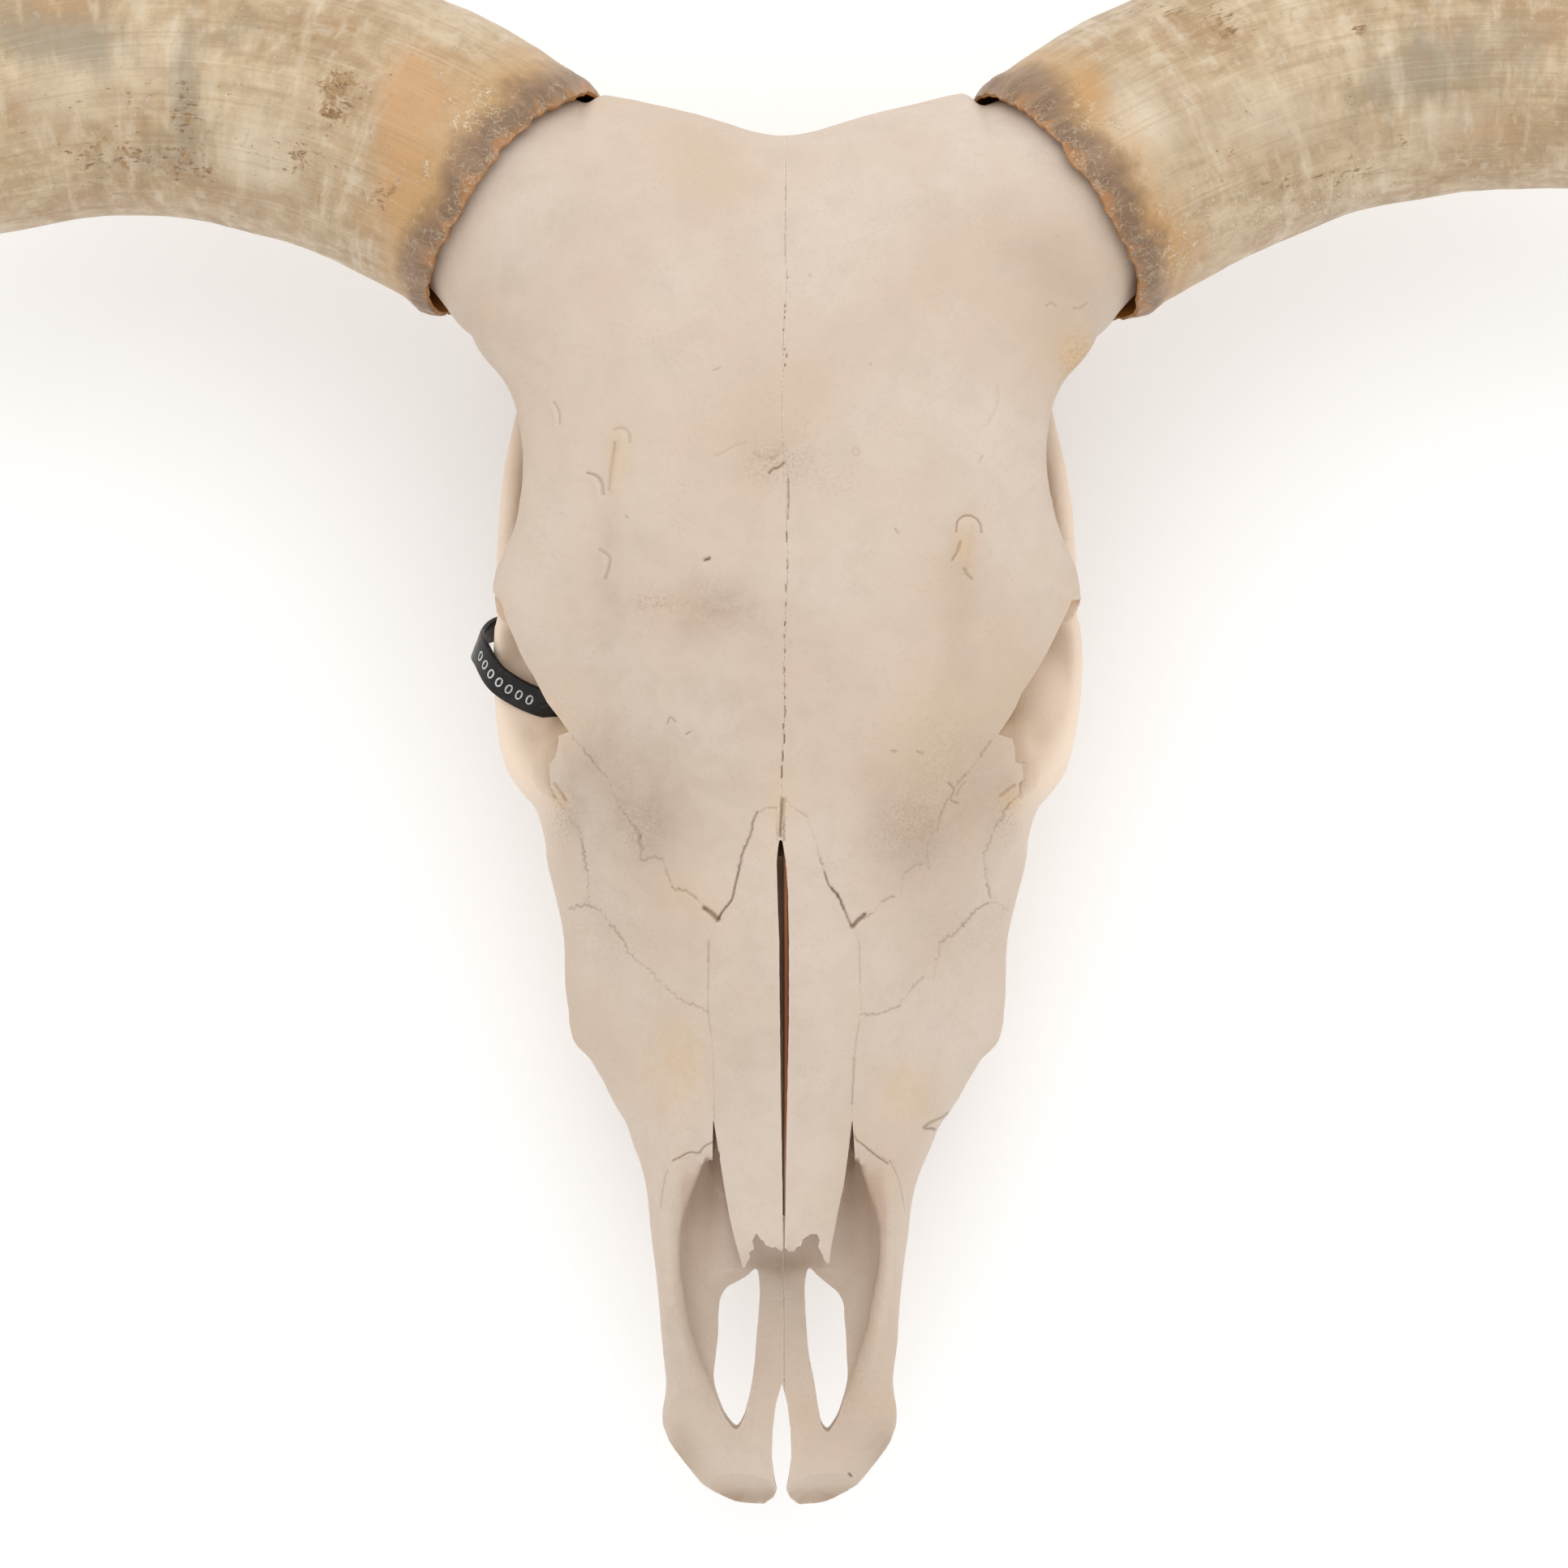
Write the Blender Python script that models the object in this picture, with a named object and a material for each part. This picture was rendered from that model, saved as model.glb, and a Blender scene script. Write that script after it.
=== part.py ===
"""A bull's skull with its horns, life size, lying on its cheek teeth with the forehead up.

+X is the animal's left, +Y points from the muzzle to the poll and +Z is up. The floor is Z = 0.
Sizes are in millimetres and become metres where a mesh is made. The bony skull is modelled as
one whole from lofts and swept bars, its hollows are carved out, and thin cuts along the sutures
part it into bones. The two sides are alike, apart from the horns and the strap.
"""

import math

import bmesh
import bpy
import numpy as np
from mathutils import Vector

MM = 0.001

# Driving dimensions.
SKULL_FRONT = -288.5  # foremost point of the incisive bones
SUTURE = 0.35  # gap that parts two bones
TOOTH_TILT = math.radians(12)  # the rows of teeth rise towards the muzzle
LAST_MOLAR = -10.0  # back of the third molar
CROWN = 17.0  # height of a cheek tooth below its socket

# Fineness of the modelling.
SKIN = 2.4  # size of the skin's cells
SKULL_TRIANGLES = 3300
RING_STEPS = 6  # points between two neighbouring corners of a section
STATION_STEP = 5.0


# ---------------------------------------------------------------- curves and meshes


def through(keys, values, places):
    """Reads a smooth curve through values, given at rising keys, at the places asked for."""
    keys = np.asarray(keys, float)
    values = np.asarray(values, float).reshape(len(keys), -1)
    slopes = np.gradient(values, keys, axis=0)
    places = np.clip(np.asarray(places, float), keys[0], keys[-1])
    i = np.clip(np.searchsorted(keys, places) - 1, 0, len(keys) - 2)
    step = (keys[i + 1] - keys[i])[:, None]
    t = ((places - keys[i]) / (keys[i + 1] - keys[i]))[:, None]
    start = (2 * t**3 - 3 * t**2 + 1) * values[i] + (t**3 - 2 * t**2 + t) * step * slopes[i]
    end = (3 * t**2 - 2 * t**3) * values[i + 1] + (t**3 - t**2) * step * slopes[i + 1]
    return start + end


def closed_curve(corners, steps):
    """A smooth closed curve through corners, with the same number of points between each pair."""
    corners = np.asarray(corners, float)
    n = len(corners)
    padded = corners[np.arange(-2, n + 3) % n]
    keys = np.concatenate([[0], np.cumsum(np.linalg.norm(np.diff(padded, axis=0), axis=1))])
    places = [
        keys[2 + k] + (keys[3 + k] - keys[2 + k]) * j / steps for k in range(n) for j in range(steps)
    ]
    return through(keys, padded, places)


def open_curve(points, count):
    """A smooth curve through points of any dimension, read at count evenly spaced places."""
    points = np.asarray(points, float)
    keys = np.concatenate([[0], np.cumsum(np.linalg.norm(np.diff(points[:, :3], axis=0), axis=1))])
    return through(keys, points, np.linspace(0, keys[-1], count))


def new_object(name, mesh):
    obj = bpy.data.objects.new(name, mesh)
    bpy.context.scene.collection.objects.link(obj)
    return obj


def loft(name, rings, closed=False):
    """A solid skin over rings of points, which have equal counts. Its ends are capped unless it closes."""
    bm = bmesh.new()
    loops = [[bm.verts.new(Vector(p) * MM) for p in ring] for ring in rings]
    for near, far in zip(loops, loops[1:] + loops[:1] if closed else loops[1:]):
        for k in range(len(near)):
            bm.faces.new((near[k - 1], near[k], far[k], far[k - 1]))
    if not closed:
        bm.faces.new(loops[0])
        bm.faces.new(loops[-1])
    bmesh.ops.recalc_face_normals(bm, faces=bm.faces)
    mesh = bpy.data.meshes.new(name)
    bm.to_mesh(mesh)
    bm.free()
    return new_object(name, mesh)


def body_loft(name, stations):
    """A body symmetric about X = 0. A station is its y and its half section, from roof to keel, as (x, z)."""
    stations = sorted(stations)
    keys = [s[0] for s in stations]
    halves = np.array([s[1] for s in stations], float)
    count = max(3, round((keys[-1] - keys[0]) / STATION_STEP))
    places = np.linspace(keys[0], keys[-1], count)
    read = through(keys, halves.reshape(len(keys), -1), places).reshape(count, -1, 2)
    rings = []
    for y, half in zip(places, read):
        mirrored = half[-2:0:-1] * (-1, 1)
        ring = closed_curve(np.vstack([half, mirrored]), RING_STEPS)
        rings.append([(x, y, z) for x, z in ring])
    return loft(name, rings)


def bar(name, stations, side=1, sides=14, closed=False, spacing=5.0):
    """A bar swept through stations of (x, y, z, half width, half height). Its height stays upright."""
    stations = np.asarray(stations, float)
    length = np.linalg.norm(np.diff(stations[:, :3], axis=0), axis=1).sum()
    count = max(4, round(length / spacing))
    if closed:
        line = closed_curve(stations, max(2, round(count / len(stations))))
    else:
        line = open_curve(stations, count)
    centres = line[:, :3] * (side, 1, 1)
    if closed:
        runs = np.roll(centres, -1, axis=0) - np.roll(centres, 1, axis=0)
    else:
        runs = np.gradient(centres, axis=0)
    rings = []
    for centre, run, (wide, high) in zip(centres, runs, line[:, 3:5]):
        run = Vector(run).normalized()
        across = run.cross(Vector((0, 0, 1)))
        across = across.normalized() if across.length > 0.5 else Vector((0, 1, 0))
        up = across.cross(run).normalized()
        turn = [2 * math.pi * k / sides for k in range(sides)]
        rings.append([Vector(centre) + across * wide * math.cos(a) + up * high * math.sin(a) for a in turn])
    return loft(name, rings, closed)


def lump(name, centre, radii, side=1, turn=(0, 0, 0)):
    """An ellipsoid, turned by degrees about X, Y and Z."""
    bm = bmesh.new()
    bmesh.ops.create_uvsphere(bm, u_segments=28, v_segments=18, radius=MM)
    mesh = bpy.data.meshes.new(name)
    bm.to_mesh(mesh)
    bm.free()
    obj = new_object(name, mesh)
    obj.scale = radii
    obj.rotation_euler = (math.radians(turn[0]), math.radians(turn[1]) * side, math.radians(turn[2]) * side)
    obj.location = Vector((centre[0] * side, centre[1], centre[2])) * MM
    return obj


def prism(name, outline, low, high, side=1, axis="Z"):
    """A closed outline extruded along Z, or a (y, z) outline extruded along X."""
    rings = []
    for level in (low, high):
        if axis == "Z":
            rings.append([(x * side, y, level) for x, y in outline])
        else:
            rings.append([(level, y, z) for y, z in outline])
    return loft(name, rings)


def grown(outline, by):
    """The outline moved outwards by a distance, at each corner along its own bisector."""
    points = [Vector(p) for p in outline]
    area = sum(a.x * b.y - b.x * a.y for a, b in zip(points, points[1:] + points[:1]))
    turn = 1 if area > 0 else -1
    out = []
    for k, point in enumerate(points):
        before = (point - points[k - 1]).normalized()
        after = (points[(k + 1) % len(points)] - point).normalized()
        normal = Vector((before.y + after.y, -before.x - after.x)) * turn
        normal = normal.normalized()
        lean = max(0.4, normal.dot(Vector((before.y, -before.x)) * turn))
        out.append(tuple(point + normal * by / lean))
    return out


# ---------------------------------------------------------------- modifiers, applied


def settle(obj):
    """Applies the object's modifiers and its place to its mesh."""
    bpy.context.view_layer.update()
    graph = bpy.context.evaluated_depsgraph_get()
    mesh = bpy.data.meshes.new_from_object(obj.evaluated_get(graph), depsgraph=graph)
    mesh.transform(obj.matrix_world)
    obj.modifiers.clear()
    obj.matrix_world.identity()
    obj.location = obj.rotation_euler = (0, 0, 0)
    obj.scale = (1, 1, 1)
    obj.data = mesh
    return obj


def drop(*objects):
    for obj in objects:
        bpy.data.objects.remove(obj)


def joined(name, pieces):
    """One object that holds the meshes of all the pieces, which are removed."""
    bm = bmesh.new()
    for piece in pieces:
        bm.from_mesh(settle(piece).data)
    drop(*pieces)
    mesh = bpy.data.meshes.new(name)
    bm.to_mesh(mesh)
    bm.free()
    return new_object(name, mesh)


def fused(name, pieces, voxel, rounds):
    """One smooth skin over all that the pieces fill, blended by some rounds of smoothing."""
    obj = joined(name, pieces)
    skin = obj.modifiers.new("skin", "REMESH")
    skin.mode = "VOXEL"
    skin.voxel_size = voxel * MM
    soften = obj.modifiers.new("soften", "SMOOTH")
    soften.factor = 0.5
    soften.iterations = rounds
    return settle(obj)


def combined(obj, cutter, operation):
    """Applies one Boolean and removes the cutter."""
    modifier = obj.modifiers.new(operation.lower(), "BOOLEAN")
    modifier.operation = operation
    modifier.object = cutter
    settle(obj)
    drop(cutter)
    return obj


def reduced(obj, triangles):
    """Collapses the mesh to about that many triangles."""
    now = sum(len(p.vertices) - 2 for p in obj.data.polygons)
    if now > triangles:
        thin = obj.modifiers.new("thin", "DECIMATE")
        thin.ratio = triangles / now
        thin.use_collapse_triangulate = True
        settle(obj)
    return obj


def copy_of(obj, name):
    other = new_object(name, obj.data.copy())
    return other


def both(make):
    """The pieces that make(side) gives for the left side, +1, and for the right side, -1."""
    return [piece for side in (1, -1) for piece in make(side)]


# ---------------------------------------------------------------- the bony skull

# Half sections of the cranium and face, from roof to keel: roof, forehead, brow, under the brow,
# flank, cheek, edge of the base or of the sockets, palate, keel.
HEAD = [
    (242, [(0, 184), (40, 184), (68, 172), (72, 150), (68, 124), (63, 104), (46, 86), (26, 90), (0, 96)]),
    (234, [(0, 190), (48, 191), (84, 184), (88, 150), (80, 122), (73, 96), (54, 74), (28, 78), (0, 86)]),
    (205, [(0, 202), (54, 204), (100, 190), (98, 150), (84, 118), (90, 88), (56, 62), (24, 48), (0, 46)]),
    (180, [(0, 206), (60, 206), (120, 176), (98, 146), (82, 122), (95, 90), (54, 60), (22, 46), (0, 43)]),
    (165, [(0, 207), (61, 207), (117, 175), (92, 150), (74, 126), (82, 90), (48, 58), (20, 46), (0, 43)]),
    (152, [(0, 207), (61, 206), (106, 179), (85, 158), (67, 128), (70, 92), (44, 57), (18, 47), (0, 44)]),
    (130, [(0, 207), (60, 206), (100, 180), (82, 162), (60, 130), (60, 94), (38, 62), (16, 50), (0, 48)]),
    (100, [(0, 207), (62, 205), (103, 178), (84, 161), (57, 130), (56, 98), (34, 68), (15, 56), (0, 54)]),
    (72, [(0, 206), (66, 202), (112, 171), (92, 156), (54, 130), (52, 102), (32, 74), (15, 60), (0, 58)]),
    (42, [(0, 204), (60, 199), (95, 174), (80, 160), (52, 134), (50, 106), (34, 72), (16, 58), (0, 56)]),
    (22, [(0, 202), (54, 196), (83, 172), (84, 156), (78, 134), (70, 108), (46, 50), (18, 52), (0, 54)]),
    (5, [(0, 200), (44, 193), (75, 170), (88, 150), (95, 127), (90, 104), (66, 27), (40, 32), (0, 54)]),
    (-25, [(0, 194), (32, 188), (57, 171), (80, 146), (94.5, 118), (84, 94), (70, 22), (40, 30), (0, 50)]),
    (-60, [(0, 186), (26, 182), (46, 165), (70, 132), (87.5, 106), (77, 84), (67, 29), (38, 34), (0, 54)]),
    (-90, [(0, 179), (23, 176), (39, 159), (65, 124), (85.5, 98), (74, 80), (62, 35), (34, 40), (0, 57)]),
    (-112, [(0, 172), (20, 169), (34, 154), (56, 123), (75, 99), (65, 82), (57, 40), (30, 44), (0, 60)]),
    (-135, [(0, 165), (16, 162), (29, 152), (44, 130), (59, 104), (61, 86), (52, 46), (24, 50), (0, 62)]),
    (-150, [(0, 160.5), (14, 158.5), (25, 150), (31, 136), (37, 112), (37, 90), (33, 62), (16, 60), (0, 64)]),
    (-193, [(0, 148.5), (9, 147.5), (17, 142), (22, 132), (26, 112), (26, 92), (22, 72), (10, 70), (0, 70)]),
]

# Half sections of the muzzle: floor, floor's side, foot, rim, outer wall, lower wall, edge, keel.
MUZZLE = [
    (-122, [(0, 85), (16, 85), (28, 94), (34, 149), (54, 118), (63, 95), (53, 45), (0, 60)]),
    (-138, [(0, 84), (18, 84), (31, 92), (40, 142), (54, 118), (60.5, 92), (51, 47), (0, 63)]),
    (-155, [(0, 83), (18, 83), (33, 91), (44, 133), (51.5, 112), (54, 90), (46, 57), (0, 65)]),
    (-178, [(0, 82), (18, 82), (35, 90), (44, 122), (49, 106), (50, 88), (43, 63), (0, 67)]),
    (-200, [(0, 81), (16, 81), (34, 87), (42.5, 111), (47, 100), (47.8, 86), (42, 66), (0, 68)]),
    (-222, [(0, 80), (14, 80), (30, 83), (38.5, 100), (45, 95), (46, 84), (40, 68), (0, 69)]),
    (-240, [(0, 79), (12, 80), (25, 82), (35.5, 92), (43, 90), (45, 82), (38, 68), (0, 69)]),
    (-251, [(0, 78), (12, 80), (24, 82), (34, 88), (44.5, 86), (47.2, 79), (38, 68), (0, 68)]),
    (-262, [(0, 76), (11, 79), (21, 82), (32, 84), (42, 80), (45.2, 74), (35, 65), (0, 66)]),
    (-272, [(0, 72), (9, 75), (18, 78), (27, 78), (35, 74), (38.5, 69), (29, 62), (0, 64)]),
    (-281, [(0, 68), (7, 71), (14, 72.5), (20, 72), (26, 69), (30, 65), (21, 60), (0, 61)]),
    (SKULL_FRONT, [(0, 65), (5, 67), (9, 67.5), (13, 67), (16, 66), (18, 63.5), (12, 61), (0, 61.5)]),
]

# Swept bars: x, y, z, half width, half height. The orbit's rim is a closed ring.
POLL_BAR = [(-80, 218, 151, 48, 49), (-45, 211, 152, 47, 51), (0, 202, 153, 46, 52)]
ORBIT_RIM = [
    (108, 70, 158, 7, 9),
    (99, 56, 168, 7, 8),
    (90, 40, 170, 7, 7),
    (80, 22, 167, 8, 7),
    (80, 10, 157, 9, 9),
    (90, 2, 140, 9, 9),
    (100, 5, 123, 8.5, 8),
    (106, 20, 113, 9, 8),
    (108, 40, 110, 8, 8),
    (109.5, 58, 120, 6.5, 7),
    (110, 69, 140, 5.5, 8),
]
ORBIT_FLOOR = [(83, -8, 118, 15, 10), (92, 12, 110, 16, 7), (98, 36, 106, 12, 6), (102, 60, 106, 8, 7)]
ZYGOMATIC_ARCH = [
    (108, 52, 111, 5.5, 8),
    (109, 80, 106, 5, 9),
    (107.5, 108, 101, 5, 9),
    (103, 133, 95, 6, 8),
    (92, 152, 90, 11, 8),
    (78, 160, 88, 12, 10),
]
JUGULAR_PROCESS = [
    (76, 218, 84, 10, 18),
    (76, 213, 58, 8, 14),
    (75, 208, 34, 6, 10.5),
    (73, 203, 14, 4.5, 7.5),
    (71, 199.5, -1, 3.5, 5.5),
]
TEMPORAL_BASE = [(24, 178, 54, 14, 11), (56, 177, 66, 15, 13), (90, 176, 84, 15, 13)]
PTERYGOID_PLATE = [(22, 48, 64, 3.5, 10), (21, 26, 50, 3.5, 15), (21, 2, 40, 4, 12)]
BASAL_BAR = [(0, 226, 52, 22, 9), (0, 190, 49, 20, 9), (0, 150, 50, 15, 9), (0, 105, 58, 12, 9)]

# The hollow under the nasal bones, as half sections: roof, its shoulder, wall, foot, floor.
NASAL_CAVITY = [
    (-204, [(0, 146), (12, 144), (20, 138), (34, 112), (31, 90), (0, 82)]),
    (-165, [(0, 150.5), (10, 149.5), (17, 144), (33, 120), (32, 91), (0, 83)]),
    (-140, [(0, 158), (12, 156), (20, 149), (31, 124), (30, 92), (0, 84)]),
    (-105, [(0, 168.5), (14, 166), (23, 154), (30, 126), (28, 94), (0, 86)]),
    (-65, [(0, 179), (15, 177), (25, 165), (30, 136), (26, 104), (0, 92)]),
    (-28, [(0, 187), (13, 185), (20, 174), (22, 148), (18, 122), (0, 112)]),
]

# Holes and slits seen from above, as (x, y) on the left side.
NASAL_SLIT = [(0, -18), (1.3, -32), (2, -62), (2, -100), (1.1, -130), (0.5, -150), (0.5, -196), (0, -196)]
NASAL_TIP_NOTCH = [
    (0, -184.6), (5, -184), (9, -181.5), (12, -179.5), (13.6, -188), (15, -191), (10, -205), (0, -205),
]  # fmt: skip
APERTURE = [
    (25.6, -133), (30.5, -141), (36, -158), (38.4, -176), (38, -200), (30, -240), (30, -300), (0, -300),
    (0, -192), (15.6, -191.4), (17.8, -180.2), (21, -163.1), (23.8, -146.1),
]  # fmt: skip
PALATINE_FISSURE = [
    (11, -190), (17, -194), (22.6, -198), (24.2, -208), (25.4, -222), (26.6, -238), (23.4, -250),
    (19, -254.5), (15.4, -248), (12.8, -236), (11.6, -222), (10.8, -206),
]  # fmt: skip
FRONT_SLIT = [
    (0, -238), (1.2, -243), (2.4, -249), (3, -255), (3, -264), (2.3, -276), (1.4, -284), (1.4, -295),
    (0, -295),
]  # fmt: skip

# The sutures. Each bone lies inside one outline seen from above, as (x, y), and one seen from the
# side, as (y, z), both for the left side.
MIDLINE = SUTURE / 2
NASAL_PLAN = [
    (MIDLINE, -6), (5, -8.5), (10, -12), (14, -19), (17, -28), (20, -40), (22, -49), (26, -55),
    (28.6, -66), (29, -76), (28, -90), (26.6, -108), (25.4, -132), (24.6, -140), (24.6, -250),
    (MIDLINE, -250),
]  # fmt: skip
NASAL_SIDE = [
    (20, 180), (-30, 172), (-65, 160), (-105, 148), (-140, 138), (-250, 120), (-250, 260), (20, 260),
]  # fmt: skip
FRONTAL_PLAN = [
    (MIDLINE, -40), (27, -51), (35.8, -43), (44, -31), (54, -27), (61, -14), (68, 2), (77, 14),
    (86, 22), (150, 40), (220, 120), (420, 160), (420, 330), (MIDLINE, 330),
]  # fmt: skip
FRONTAL_SIDE = [
    (-70, 146), (14, 146), (40, 149), (70, 145), (120, 150), (148, 142), (168, 112), (186, 92), (330, 88),
    (330, 260), (-70, 260),
]  # fmt: skip
LACRIMAL_PLAN = [
    (20, -50), (60, -20), (70, 8), (84, 30), (100, 24), (97, 8), (91, -2), (80.5, -14), (77, -26.5),
    (76.6, -46.4), (62, -61), (49, -74), (40, -84), (29.6, -89), (20, -86),
]  # fmt: skip
LACRIMAL_SIDE = [(-95, 124), (-46, 122), (-14, 134), (8, 134), (30, 140), (30, 240), (-95, 240)]
ZYGOMATIC_PLAN = [(77, -46.4), (72, -20), (76, 6), (80, 20), (80, 100), (150, 100), (150, -46.4)]
ZYGOMATIC_SIDE = [(-46.4, 78), (-46.4, 160), (60, 160), (100, 160), (94, 84), (20, 80)]
INCISIVE_SIDE = [
    (-139.5, 160), (-143.5, 141), (-154, 125), (-166.6, 112), (-185, 97), (-203, 84), (-212, 50),
    (-330, 40), (-330, 170), (-190, 170),
]  # fmt: skip
MAXILLA_SIDE = [(-330, 0), (12, 0), (12, 80), (20, 130), (20, 260), (-330, 260)]
WHOLE_SIDE = [(MIDLINE, -400), (300, -400), (300, 400), (MIDLINE, 400)]  # seen from above


def skull_forms():
    """The solid masses that make the bony skull, before anything is carved."""
    forms = [body_loft("cranium", HEAD), body_loft("muzzle", MUZZLE)]
    poll = POLL_BAR + [(-x, y, z, a, b) for x, y, z, a, b in POLL_BAR[-2::-1]]
    forms += [bar("poll", poll, sides=24), bar("basal_bar", BASAL_BAR)]

    def one_side(side):
        return [
            horn_core(side),
            bar("orbit_rim", ORBIT_RIM, side, closed=True),
            bar("orbit_floor", ORBIT_FLOOR, side),
            bar("zygomatic_arch", ZYGOMATIC_ARCH, side),
            bar("jugular_process", JUGULAR_PROCESS, side),
            bar("pterygoid_plate", PTERYGOID_PLATE, side),
            lump("joint_tubercle", (84, 146, 84), (20, 15, 10), side),
            lump("mastoid", (85, 190, 82), (14, 22, 22), side),
            lump("ear_passage", (88, 174, 84), (18, 10, 10), side),
            bar("temporal_base", TEMPORAL_BASE, side),
            lump("tympanic_bulla", (45, 165, 50), (12, 19, 21), side),
            lump("condyle", (32, 232, 60), (18, 14, 23), side, (0, -28, 20)),
            lump("condyle_root", (28, 214, 54), (22, 24, 16), side),
            lump("muscular_tubercle", (13, 182, 41), (9, 13, 6), side),
            lump("facial_tuber", (78, -92, 96), (8, 15, 9), side),
        ]

    return forms + both(one_side)


def skull_hollows():
    """What is carved out of the skull: orbits, fossae, nasal passage, slits and the great foramen."""
    cavity = body_loft("nasal_cavity", NASAL_CAVITY)
    great_foramen = lump("great_foramen", (0, 236, 70), (19, 62, 20), turn=(12, 0, 0))
    choana = lump("choana", (0, 30, 48), (16, 44, 25), turn=(-38, 0, 0))

    def one_side(side):
        return [
            lump("orbit", (92, 38, 141), (40, 29, 25), side, (0, -14, -20)),
            lump("orbit_depth", (64, 54, 138), (34, 26, 22), side, (0, 0, 20)),
            lump("temporal_fossa", (82, 118, 132), (23, 52, 26), side),
            lump("fossa_depth", (84, 92, 102), (17, 50, 24), side),
            prism("aperture", APERTURE, 96, 240, side),
            prism("palatine_fissure", PALATINE_FISSURE, 20, 240, side),
            prism("nasal_tip_notch", NASAL_TIP_NOTCH, 120, 240, side),
        ]

    return [cavity, great_foramen, choana] + both(one_side)


def bony_skull():
    skull = fused("skull", skull_forms(), SKIN, 6)
    for hollow in skull_hollows():
        combined(skull, settle(hollow), "DIFFERENCE")
    skull = fused("skull", [skull], SKIN * 0.75, 3)
    reduced(skull, SKULL_TRIANGLES)
    for outline, low in ((NASAL_SLIT, 130), (FRONT_SLIT, 20)):
        whole = outline + [(-x, y) for x, y in outline[-2:0:-1]]
        combined(skull, prism("slit", whole, low, 240), "DIFFERENCE")
    for side in (1, -1):
        combined(skull, horn_sheath("clearance", side, 2 * SUTURE), "DIFFERENCE")
    return skull


# ---------------------------------------------------------------- the bones, parted


def region(name, plan, side_view, side, gap=0.0):
    """The space inside a plan outline and a side outline, with both moved out by the gap."""
    space = prism(name, grown(plan, gap), -50, 400, side)
    limit = prism("limit", grown(side_view, gap), -450, 450, axis="X")
    return combined(space, limit, "INTERSECT")


def largest_body(obj):
    """Keeps the largest connected piece of the mesh."""
    bm = bmesh.new()
    bm.from_mesh(obj.data)
    bodies = []
    seen = set()
    for start in bm.verts:
        if start in seen:
            continue
        body, edge_of_body = {start}, [start]
        while edge_of_body:
            for edge in edge_of_body.pop().link_edges:
                for vert in edge.verts:
                    if vert not in body:
                        body.add(vert)
                        edge_of_body.append(vert)
        seen |= body
        bodies.append(body)
    keep = max(bodies, key=len)
    bmesh.ops.delete(bm, geom=[v for v in bm.verts if v not in keep], context="VERTS")
    bm.to_mesh(obj.data)
    bm.free()
    return obj


def part_off(skull, name, plan, side_view, sides=(1, -1)):
    """Cuts one bone of each side out of the skull, which loses it and a suture's width round it."""
    bones = []
    for side in sides:
        bone = copy_of(skull, f"{name}_{'left' if side > 0 else 'right'}")
        combined(bone, region("inside", plan, side_view, side), "INTERSECT")
        bones.append(largest_body(bone))
    for side in sides:
        combined(skull, region("outside", plan, side_view, side, SUTURE), "DIFFERENCE")
    return bones


def bones_of(skull):
    """All the bones: each pair in turn, and last the braincase, which is what is left."""
    bones = part_off(skull, "nasal", NASAL_PLAN, NASAL_SIDE)
    bones += part_off(skull, "frontal", FRONTAL_PLAN, FRONTAL_SIDE)
    bones += part_off(skull, "lacrimal", LACRIMAL_PLAN, LACRIMAL_SIDE)
    bones += part_off(skull, "zygomatic", ZYGOMATIC_PLAN, ZYGOMATIC_SIDE)
    bones += part_off(skull, "incisive", WHOLE_SIDE, INCISIVE_SIDE)
    bones += part_off(skull, "maxilla", WHOLE_SIDE, MAXILLA_SIDE)
    skull.name = "braincase"
    return bones + [largest_body(skull)]


# ---------------------------------------------------------------- horns


# Along the horn: distances from its base, and there its bearing and rise in degrees. A bearing of 0
# points straight out to the side and a positive one leans to the poll. The two horns differ a little.
HORN_AT = [-60, 0, 40, 90, 140, 190, 240, 330, 430, 520, 640]
HORN_BEARING = {
    1: [38, 36, 29, 21, 8, -1, -12, -26, -34, -33, -20],
    -1: [46, 38, 28, 16, 3, -11, -20, -31, -37, -35, -20],
}
HORN_RISE = [-13, -13, -11, -7, -2, 4, 10, 21, 35, 50, 64]
HORN_BASE = {1: (104, 221.6, 150), -1: (-102.6, 222.5, 150)}
# Distance from the base and radius: outside of the horn, its hollow, and the bony core inside it.
SHEATH = [
    (0, 53), (60, 54.5), (150, 50.5), (205, 47.5), (250, 45), (350, 38), (450, 28.5), (540, 18), (590, 10),
    (618, 3),
]  # fmt: skip
SHEATH_BORE = [(0, 50), (14, 48.5), (60, 47), (110, 44), (150, 41), (200, 34), (235, 24), (256, 8)]
CORE = [
    (-58, 47), (-30, 51), (-13, 50.4), (-4, 47.6), (8, 45.5), (40, 42), (100, 38), (150, 33), (195, 24),
    (222, 8),
]  # fmt: skip


def horn_line(side, places):
    """The horn's axis at distances from its base, as the sum of short steps along its bearing."""
    step = 1.0
    along = np.arange(-60, 660, step)
    bearing = np.radians(through(HORN_AT, HORN_BEARING[side], along + step / 2)[:, 0])
    rise = np.radians(through(HORN_AT, HORN_RISE, along + step / 2)[:, 0])
    out = np.cos(bearing) * np.cos(rise) * side
    steps = np.stack([out, np.sin(bearing) * np.cos(rise), np.sin(rise)], axis=1) * step
    line = np.vstack([[0, 0, 0], np.cumsum(steps, axis=0)])
    line += np.array(HORN_BASE[side]) - line[60]
    return through(np.append(along, along[-1] + step), line, places)


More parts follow.
